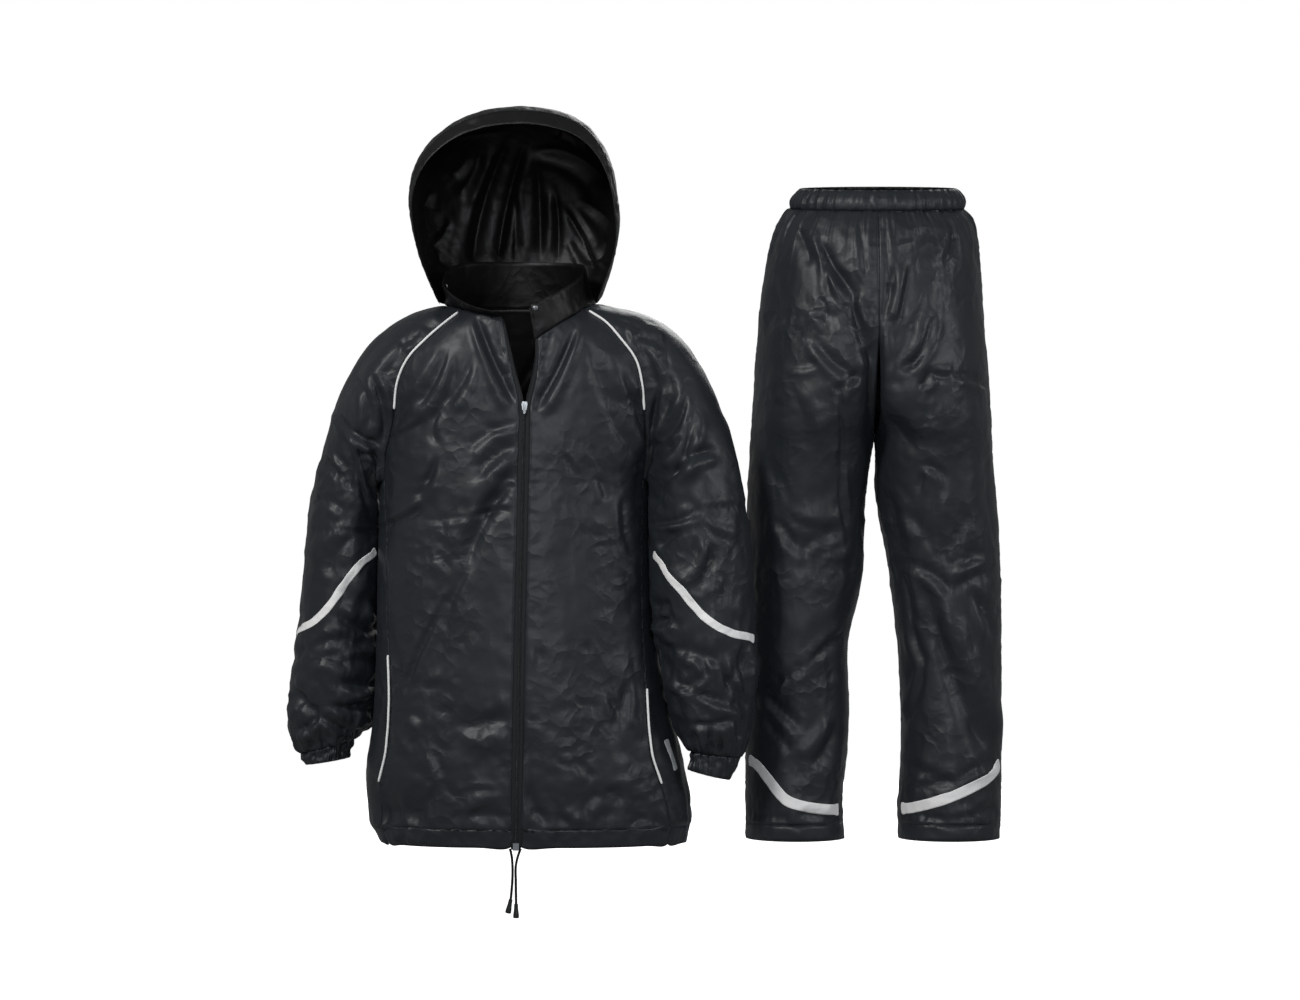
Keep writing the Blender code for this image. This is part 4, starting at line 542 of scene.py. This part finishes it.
# the cloth pieces: solid, crease group, middle of its garment, levels of smoothing, material,
# cut width and length in metres, share of that rectangle that is cloth
clothBuild = {"rimWidth": 2.4, "wall": 0.7, "groove": 0.5, "pucker": 0.85, "puckerPitch": 8.0, "fitTurns": 2,
              "seamLap": 0.9}
clothPieces = {
    "front_left": ("body", -10, 3, "coatedTaffeta", 0.27, 0.83, 0.745),
    "front_right": ("body", -10, 3, "coatedTaffeta", 0.25, 0.80, 0.77),
    "back": ("body", -10, 3, "coatedTaffeta", 0.66, 0.84, 0.865),
    "hem_band_left": ("body", -10, 3, "coatedTaffeta", 0.22, 0.027, 1.0),
    "hem_band_right": ("body", -10, 3, "coatedTaffeta", 0.23, 0.027, 1.0),
    "hem_band_back": ("body", -10, 3, "coatedTaffeta", 0.74, 0.027, 1.0),
    "sleeve_left": ("sleeveLeft", -290, 3, "coatedTaffeta", 0.50, 0.75, 0.74),
    "sleeve_right": ("sleeveRight", 280, 3, "coatedTaffeta", 0.50, 0.77, 0.78),
    "cuff_left": ("sleeveLeft", -290, 3, "coatedTaffeta", 0.24, 0.026, 1.0),
    "cuff_right": ("sleeveRight", 280, 3, "coatedTaffeta", 0.23, 0.034, 1.0),
    # the hood and its band wear the hood cloth, whose darker colour is painted shade
    "hood": ("hood", -10, 4, "hoodTaffetaPaintedShade", 0.68, 0.42, 0.65),
    "hood_band": ("hood", -10, 3, "hoodTaffetaPaintedShade", 0.66, 0.024, 1.0),
    # the collar wears the dark inside cloth, its darkness painted shade on a lit face
    "collar": ("body", -10, 2, "coatedInsideAndPaintedShade", 0.52, 0.07, 1.0),
    "trouser_front_left": ("trousers", 546, 3, "coatedTaffeta", 0.30, 1.00, 0.86),
    "trouser_front_right": ("trousers", 546, 3, "coatedTaffeta", 0.30, 1.00, 0.86),
    "trouser_back_left": ("trousers", 546, 3, "coatedTaffeta", 0.31, 1.00, 0.86),
    "trouser_back_right": ("trousers", 546, 3, "coatedTaffeta", 0.31, 1.00, 0.86),
    "trouser_hem_left": ("trousers", 546, 2, "coatedTaffeta", 0.50, 0.026, 1.0),
    "trouser_hem_right": ("trousers", 546, 2, "coatedTaffeta", 0.50, 0.026, 1.0),
    "waistband": ("trousers", 546, 2, "coatedTaffeta", 0.79, 0.033, 1.0),
}
# gathered edges: solid names, centre x and y, height, reach, folds round, depth
gathers = (
    (("trouser_front_left", "trouser_front_right", "trouser_back_left", "trouser_back_right"),
     (546, 75), 155, 52, 120, 2.6),
    (("sleeve_left",), (-310, 42), -690, 34, 56, 2.6),
    (("sleeve_right",), (295, -40), -695, 34, 56, 2.6),
    (("cuff_left",), (-310, 42), -690, 60, 56, 1.5),
    (("cuff_right",), (295, -40), -695, 60, 56, 1.5),
    (("waistband",), (546, 75), 175, 90, 150, 1.1),
    (("front_left", "front_right", "back"), (-10, 0), -804, 30, 80, 1.5),
    (("hem_band_left", "hem_band_right", "hem_band_back"), (-10, 0), -815, 60, 80, 0.9),
)
finished = {}
edgeOf = {}


def clothDepth(points, normals, name, group, centre):
    # how far the finished cloth lies inside its solid's face, in millimetres
    away, nearest = distanceToEdge(points, edgeOf[name])
    fade = 1 - np.exp(-(away / crumple["seamFade"]) ** 2)
    depth = pressCreases(points, normals, group, centre, insideSeen=name == "hood") * fade
    # a sewn edge lies in a shallow groove, and the cloth beside it puckers
    depth += clothBuild["groove"] * np.exp(-away / 2.2)
    ripple = softNoise(nearest / mm / clothBuild["puckerPitch"], 21)
    depth += clothBuild["pucker"] * 2.4 * ripple * (away / 6) * np.exp(1 - away / 6)
    for number, (names, middle, top, reach, folds, amount) in enumerate(gathers):
        if name in names:
            depth += gather(points, middle, top, reach, folds, amount, number) * np.clip(away / 3, 0, 1)
    return depth


def finish(mesh, name, cloth, points, wallThickness, replaced=None):
    # a thin shell over the given points, riding on the suit in place of its solid
    mesh.vertices.foreach_set("co", points.ravel())
    mesh.polygons.foreach_set("use_smooth", [True] * len(mesh.polygons))
    mesh.materials.clear()
    mesh.materials.append(material[cloth])
    mesh.update()
    thing = bpy.data.objects.new(name, mesh)
    bpy.context.scene.collection.objects.link(thing)
    if wallThickness:
        wall = thing.modifiers.new("wall", "SOLIDIFY")
        wall.thickness = wallThickness * mm
        wall.offset = -1
        if cloth in ("coatedTaffeta", "hoodTaffetaPaintedShade"):
            # the inner wall takes the duller wrong side, darkened further as painted shade
            mesh.materials.append(material["coatedInsideAndPaintedShade"])
            wall.material_offset = 1
    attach(thing, "suit")
    if replaced:
        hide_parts(replaced)
    return thing


def makeCloth(name, row):
    group, centre, levels, cloth, wide, long, share = row
    mesh, points, normals = subdivided(outerWall(name), name + "_cloth", levels)
    edgeOf[name] = points[edgePoints(mesh)]
    depth = clothDepth(points, normals, name, group, centre)
    points = lapEdges(mesh, points - normals * depth[:, None] * mm, normals, clothBuild["seamLap"])
    thing = finish(mesh, name + "_cloth", cloth, points, clothBuild["wall"], name)
    finished[name] = thing
    return thing


for pieceName, pieceRow in clothPieces.items():
    makeCloth(pieceName, pieceRow)
print("cloth pieces made:", len(finished))

# trims: solid, cloth that it lies on, material, slot, height over that cloth, thickness,
# cut width and length in metres
trims = {
    "sleeve_tape_left": ("sleeve_left", "sleeveTrim", "sleeve_tape", 0.8, 0.5, 0.012, 0.225),
    "sleeve_tape_right": ("sleeve_right", "sleeveTrim", "sleeve_tape", 0.8, 0.5, 0.012, 0.240),
    "trouser_tape_left": ("trouser_front_left", "trouserTrim", "trouser_tape", 0.8, 0.5, 0.0165, 0.206),
    "trouser_tape_right": ("trouser_front_right", "trouserTrim", "trouser_tape", 0.8, 0.5, 0.0165, 0.212),
    "side_tab": ("back", "greyWebbing", "side_tab", 1.2, 0.8, 0.0105, 0.050),
    "zip_tape_left": (None, "zipTape", "zip_tape", 0.0, 0.7, 0.0085, 0.83),
    "zip_tape_right": (None, "zipTape", "zip_tape", 0.0, 0.7, 0.0085, 0.83),
}


def laidOn(points, normals, under, height):
    # points dropped onto a finished cloth along their normals, then raised by a height
    cloth = finished[under].data
    tree = BVHTree.FromPolygons([v.co for v in cloth.vertices], [tuple(f.vertices) for f in cloth.polygons])
    laid = points.copy()
    for i, (point, normal) in enumerate(zip(points, normals)):
        way = Vector(normal)
        spot, _, _, _ = tree.ray_cast(Vector(point) + way * 8 * mm, -way, 20 * mm)
        if spot is None:
            spot = tree.find_nearest(Vector(point))[0]
        laid[i] = spot + way * height * mm
    return laid


def makeTrim(name, row):
    under, cloth, slot, height, thick, wide, long = row
    mesh, points, normals = subdivided(outerWall(name), name + "_trim", 3 if under else 2)
    if under:
        points = laidOn(points, normals, under, height)
    else:
        points = points - normals * 0.2 * mm
    thing = finish(mesh, name + "_trim", cloth, points, thick, name)
    finished[name] = thing


for trimName, trimRow in trims.items():
    makeTrim(trimName, trimRow)


def makePiping(name):
    # covered cord sewn in a seam, rounder than its solid
    shape = bmesh.new()
    shape.from_mesh(nodes[name].data)
    bmesh.ops.remove_doubles(shape, verts=shape.verts, dist=0.00002)
    bmesh.ops.join_triangles(shape, faces=shape.faces, angle_face_threshold=0.5, angle_shape_threshold=2.2)
    mesh, points, normals = subdivided(shape, name + "_cord", 2)
    thing = finish(mesh, name + "_cord", "whitePiping", points - normals * -0.2 * mm + [0, 0.8 * mm, 0], 0,
                   name)
    finished[name] = thing


for side in ("left", "right"):
    makePiping("raglan_piping_" + side)
    makePiping("pocket_piping_" + side)
print("trims made")


# the two free ends of the hem's drawcord, on the same route points as their solids, in millimetres
drawcord = {
    "diameter": 4.0, "steps": 12,
    "left": ((-19.0, -120.0, -831.8), (-16.5, -120.8, -842.0), (-15.2, -121.2, -856.0),
             (-15.3, -121.2, -880.0), (-17.6, -121.2, -908.0)),
    "right": ((-2.6, -120.0, -831.8), (-6.5, -120.8, -842.0), (-9.9, -121.8, -857.0),
              (-10.0, -121.8, -882.0), (-9.6, -121.8, -915.0)),
}


def smoothRoute(route, steps):
    # even steps along a smooth curve through the route points
    points = np.array(route)
    reach = np.concatenate([[0], np.cumsum(np.linalg.norm(np.diff(points, axis=0), axis=1))])
    slope = np.gradient(points, reach, axis=0)
    fine = []
    for at in np.linspace(0, reach[-1], 200):
        i = min(int(np.searchsorted(reach, at, side="right")) - 1, len(reach) - 2)
        span = reach[i + 1] - reach[i]
        t = (at - reach[i]) / span
        fine.append((2 * t ** 3 - 3 * t ** 2 + 1) * points[i] + (t ** 3 - 2 * t ** 2 + t) * span * slope[i]
                    + (3 * t ** 2 - 2 * t ** 3) * points[i + 1] + (t ** 3 - t ** 2) * span * slope[i + 1])
    fine = np.array(fine)
    length = np.concatenate([[0], np.cumsum(np.linalg.norm(np.diff(fine, axis=0), axis=1))])
    at = np.linspace(0, length[-1], steps + 1)
    return np.stack([np.interp(at, length, fine[:, i]) for i in range(3)], axis=1) * mm, length[-1] * mm


for side in ("left", "right"):
    route, length = smoothRoute(drawcord[side], drawcord["steps"])
    data = bpy.data.curves.new("drawcord_" + side + "_cord", "CURVE")
    data.dimensions = "3D"
    data.bevel_depth = drawcord["diameter"] / 2 * mm
    data.bevel_resolution = 4
    data.use_fill_caps = True
    line = data.splines.new("POLY")
    line.points.add(len(route) - 1)
    for point, place in zip(line.points, route):
        point.co = (*place, 1.0)
    line.use_smooth = True
    data.materials.append(material["braidedCord"])
    cord = bpy.data.objects.new("drawcord_" + side + "_cord", data)
    bpy.context.scene.collection.objects.link(cord)
    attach(cord, "suit")
    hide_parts("drawcord_" + side)
print("drawcord made")


# sewing and zip coil, repeated along paths by geometry nodes
sewing = {"pitch": 3.8, "length": 2.6, "thickness": 0.55, "lift": 0.1}
zipCoil = {"pitch": 1.7, "width": 4.6, "thickness": 1.1, "foot": -824.0, "slider": -161.0, "proud": 0.5}
# stitch lines: piece, distances from its edge in millimetres
stitchRows = {
    "jacket": (("front_left", (4.5,)), ("front_right", (4.5,)), ("hem_band_left", (3.0,)),
               ("hem_band_right", (3.0,)), ("hem_band_back", (3.0,)), ("cuff_left", (3.5, 11.0)),
               ("cuff_right", (3.5, 12.0)), ("hood_band", (3.0,)), ("collar", (4.0,))),
    "trousers": (("trouser_front_left", (4.5,)), ("trouser_front_right", (4.5,)), ("trouser_hem_left", (3.0,)),
                 ("trouser_hem_right", (3.0,)), ("waistband", (5.0, 14.0))),
}


def repeatTree(name, sides, lengthwise):
    # geometry nodes: short rods set along a path, lengthwise or across it
    tree = bpy.data.node_groups.new(name, "GeometryNodeTree")
    face = tree.interface
    face.new_socket("Geometry", in_out="INPUT", socket_type="NodeSocketGeometry")
    for label in ("Pitch", "Length", "Radius"):
        face.new_socket(label, in_out="INPUT", socket_type="NodeSocketFloat")
    face.new_socket("Material", in_out="INPUT", socket_type="NodeSocketMaterial")
    face.new_socket("Geometry", in_out="OUTPUT", socket_type="NodeSocketGeometry")
    given = tree.nodes.new("NodeGroupInput").outputs
    path = addNode(tree, "GeometryNodeMeshToCurve", inputs={"Mesh": given["Geometry"]})
    spots = addNode(tree, "GeometryNodeCurveToPoints", {"mode": "LENGTH"}, {
        "Curve": path.outputs["Curve"], "Length": given["Pitch"]})
    rod = addNode(tree, "GeometryNodeMeshCylinder", inputs={
        "Vertices": sides, "Radius": given["Radius"], "Depth": given["Length"]})
    turned = addNode(tree, "GeometryNodeTransform", inputs={
        "Geometry": rod.outputs["Mesh"],
        "Rotation": (0.0, 0.0, 0.0) if lengthwise else (0.0, math.pi / 2, 0.0)})
    copies = addNode(tree, "GeometryNodeInstanceOnPoints", inputs={
        "Points": spots.outputs["Points"], "Instance": turned.outputs["Geometry"],
        "Rotation": spots.outputs["Rotation"]})
    real = addNode(tree, "GeometryNodeRealizeInstances", inputs={"Geometry": copies.outputs["Instances"]})
    painted = addNode(tree, "GeometryNodeSetMaterial", inputs={
        "Geometry": real.outputs["Geometry"], "Material": given["Material"]})
    end = tree.nodes.new("NodeGroupOutput")
    tree.links.new(painted.outputs["Geometry"], end.inputs["Geometry"])
    return tree


def repeatAlong(name, paths, tree, pitch, length, radius, look):
    # one plain mesh of everything set along the paths
    points = [tuple(point) for path in paths for point in path]
    edges = []
    start = 0
    for path in paths:
        edges += [(start + i, start + i + 1) for i in range(len(path) - 1)]
        start += len(path)
    mesh = bpy.data.meshes.new(name + "_path")
    mesh.from_pydata(points, edges, [])
    carrier = bpy.data.objects.new(name + "_path", mesh)
    bpy.context.scene.collection.objects.link(carrier)
    run = carrier.modifiers.new("run", "NODES")
    run.node_group = tree
    values = {"Pitch": pitch * mm, "Length": length * mm, "Radius": radius * mm, "Material": material[look]}
    for item in tree.interface.items_tree:
        if item.in_out == "INPUT" and item.name in values:
            run[item.identifier] = values[item.name]
    made = bpy.data.meshes.new_from_object(carrier.evaluated_get(bpy.context.evaluated_depsgraph_get()))
    bpy.data.objects.remove(carrier)
    made.name = name
    made.polygons.foreach_set("use_smooth", [True] * len(made.polygons))
    thing = bpy.data.objects.new(name, made)
    bpy.context.scene.collection.objects.link(thing)
    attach(thing, "suit")
    print(name, len(made.polygons), "faces")
    return thing


def edgeLoops(mesh):
    # the free edges of a mesh as ordered runs of point numbers
    use = {}
    for face in mesh.polygons:
        for key in face.edge_keys:
            use[key] = use.get(key, 0) + 1
    links = {}
    for (a, b), count in use.items():
        if count == 1:
            links.setdefault(a, []).append(b)
            links.setdefault(b, []).append(a)
    loops = []
    while links:
        start = next(iter(links))
        run = [start]
        while True:
            ways = links.get(run[-1], [])
            if not ways:
                break
            step = ways.pop()
            links[step].remove(run[-1])
            run.append(step)
            if step == start:
                break
        links = {point: ways for point, ways in links.items() if ways}
        loops.append(run)
    return loops


def stitchPath(thing, inset):
    # lines on the cloth at a distance from its free edges
    mesh = thing.data
    tree = BVHTree.FromPolygons([v.co for v in mesh.vertices], [tuple(f.vertices) for f in mesh.polygons])
    paths = []
    for loop in edgeLoops(mesh):
        places = np.array([mesh.vertices[i].co for i in loop])
        if len(places) < 8:
            continue
        steps = np.linalg.norm(np.diff(places, axis=0), axis=1)
        reach = np.concatenate([[0], np.cumsum(steps)])
        if reach[-1] < 0.04:
            continue
        at = np.linspace(0, reach[-1], max(8, int(reach[-1] / 0.005)))
        even = np.stack([np.interp(at, reach, places[:, i]) for i in range(3)], axis=1)
        line = []
        for i, place in enumerate(even):
            way = Vector(even[min(i + 1, len(even) - 1)] - even[max(i - 1, 0)]).normalized()
            normal = tree.find_nearest(Vector(place))[1]
            side = normal.cross(way)
            tries = [tree.find_nearest(Vector(place) + side * sign * inset * mm) for sign in (1, -1)]
            best = min(tries, key=lambda hit: hit[3])
            # near a corner the line would leave the cloth
            if best[3] < 0.0012:
                line.append(best[0] + best[1] * sewing["lift"] * mm)
            elif len(line) > 3:
                paths.append(line)
                line = []
        if len(line) > 3:
            paths.append(line)
    return paths


stitchTree = repeatTree("stitchRun", 3, True)
for garment, rows in stitchRows.items():
    paths = []
    for pieceName, insets in rows:
        for inset in insets:
            paths += stitchPath(finished[pieceName], inset)
    repeatAlong("stitches_" + garment, paths, stitchTree, sewing["pitch"], sewing["length"],
                sewing["thickness"] / 2, "thread")


def tapeEdge(thing, sign):
    # the free edge of a zip tape towards the other tape, from the foot up
    places = np.array([thing.data.vertices[i].co for i in edgePoints(thing.data)])
    line = []
    for low in np.arange(zipCoil["foot"], -20.0, 6.0):
        near = places[np.abs(places[:, 2] / mm - low) < 4.5]
        if len(near):
            line.append(near[np.argmax(near[:, 0] * sign)])
    return np.array(line)


leftEdge = tapeEdge(finished["zip_tape_left"], 1)
rightEdge = tapeEdge(finished["zip_tape_right"], -1)
forward = np.array([0, -zipCoil["proud"] * mm, 0])
closed = [(a + b) / 2 + forward for a, b in zip(leftEdge, rightEdge) if a[2] / mm < zipCoil["slider"]]
openLeft = [a + forward for a in leftEdge if a[2] / mm > zipCoil["slider"]]
openRight = [b + forward for b in rightEdge if b[2] / mm > zipCoil["slider"]]
coilTree = repeatTree("zipCoil", 6, False)
repeatAlong("zip_coil", [closed], coilTree, zipCoil["pitch"], zipCoil["width"], zipCoil["thickness"] / 2,
            "nylonCoil")
repeatAlong("zip_coil_open", [openLeft, openRight], coilTree, zipCoil["pitch"], zipCoil["width"] / 2,
            zipCoil["thickness"] / 2, "nylonCoil")
print("sewing and zip made")

# parts that keep their solids
plainNodes = {
    "zip_slider": "platedZinc", "zip_pull": "platedZinc", "zip_end_box": "greyAcetal",
    "snap_left": "platedSnap", "snap_right": "platedSnap", "snap_front": "platedSnap",
    "cord_end_left": "blackMoulding", "cord_end_right": "blackMoulding",
}
for nodeName, look in plainNodes.items():
    for place in nodes[nodeName].material_slots:
        place.material = material[look]

# studio
studio = {
    "floor": -0.95, "reach": 3.0, "world": 0.2,
    # place, aimed at, size, power, colour
    "lights": {
        "key": ((-2.1, -3.0, 2.1), (0.1, 0.0, -0.30), 0.8, 92.0, "fffefc"),
        "front": ((0.7, -4.8, 0.8), (0.2, 0.0, -0.40), 1.2, 46.0, "f6faff"),
        "right": ((3.2, -1.7, 0.8), (0.4, 0.0, -0.3), 0.8, 24.0, "fcfdff"),
        "back": ((1.4, 4.6, 2.2), (0.2, 0.0, -0.3), 2.4, 70.0, "ffffff"),
    },
}


def makeStudio():
    shape = bmesh.new()
    bmesh.ops.create_circle(shape, cap_ends=True, segments=64, radius=studio["reach"])
    bmesh.ops.translate(shape, verts=shape.verts, vec=(camera["place"][0], 0, studio["floor"]))
    mesh = bpy.data.meshes.new("studioFloor")
    shape.to_mesh(mesh)
    shape.free()
    paper = newMaterial("whitePaper", {
        "Base Color": toLinear("fafafa"), "Roughness": 0.9,
        "Emission Color": toLinear("ffffff"), "Emission Strength": 1.0})
    mesh.materials.append(paper[0])
    floor = bpy.data.objects.new("studioFloor", mesh)
    bpy.context.scene.collection.objects.link(floor)
    # the paper shows white to the camera, and its glare is kept off the cloth
    floor.visible_glossy = False
    floor.visible_diffuse = False
    # the background is white to the camera too, and lights the cloth only softly
    world = bpy.data.worlds.new("studio")
    world.use_nodes = True
    tree = world.node_tree
    tree.nodes.clear()
    rays = addNode(tree, "ShaderNodeLightPath")
    strength = addNode(tree, "ShaderNodeMapRange", inputs={
        "Value": rays.outputs["Is Camera Ray"], "To Min": studio["world"], "To Max": 1.0})
    sky = addNode(tree, "ShaderNodeBackground", inputs={
        "Color": toLinear("ffffff"), "Strength": strength.outputs["Result"]})
    addNode(tree, "ShaderNodeOutputWorld", inputs={"Surface": sky.outputs["Background"]})
    bpy.context.scene.world = world
    for name, (place, aim, size, power, colour) in studio["lights"].items():
        data = bpy.data.lights.new(name, "AREA")
        data.size = size
        data.energy = power
        data.color = toLinear(colour)[:3]
        lamp = bpy.data.objects.new(name, data)
        lamp.location = place
        lamp.visible_camera = False
        lamp.rotation_euler = (Vector(aim) - Vector(place)).to_track_quat("-Z", "Y").to_euler()
        bpy.context.scene.collection.objects.link(lamp)
    bpy.context.scene.view_settings.view_transform = "Standard"


makeStudio()
print("studio made")
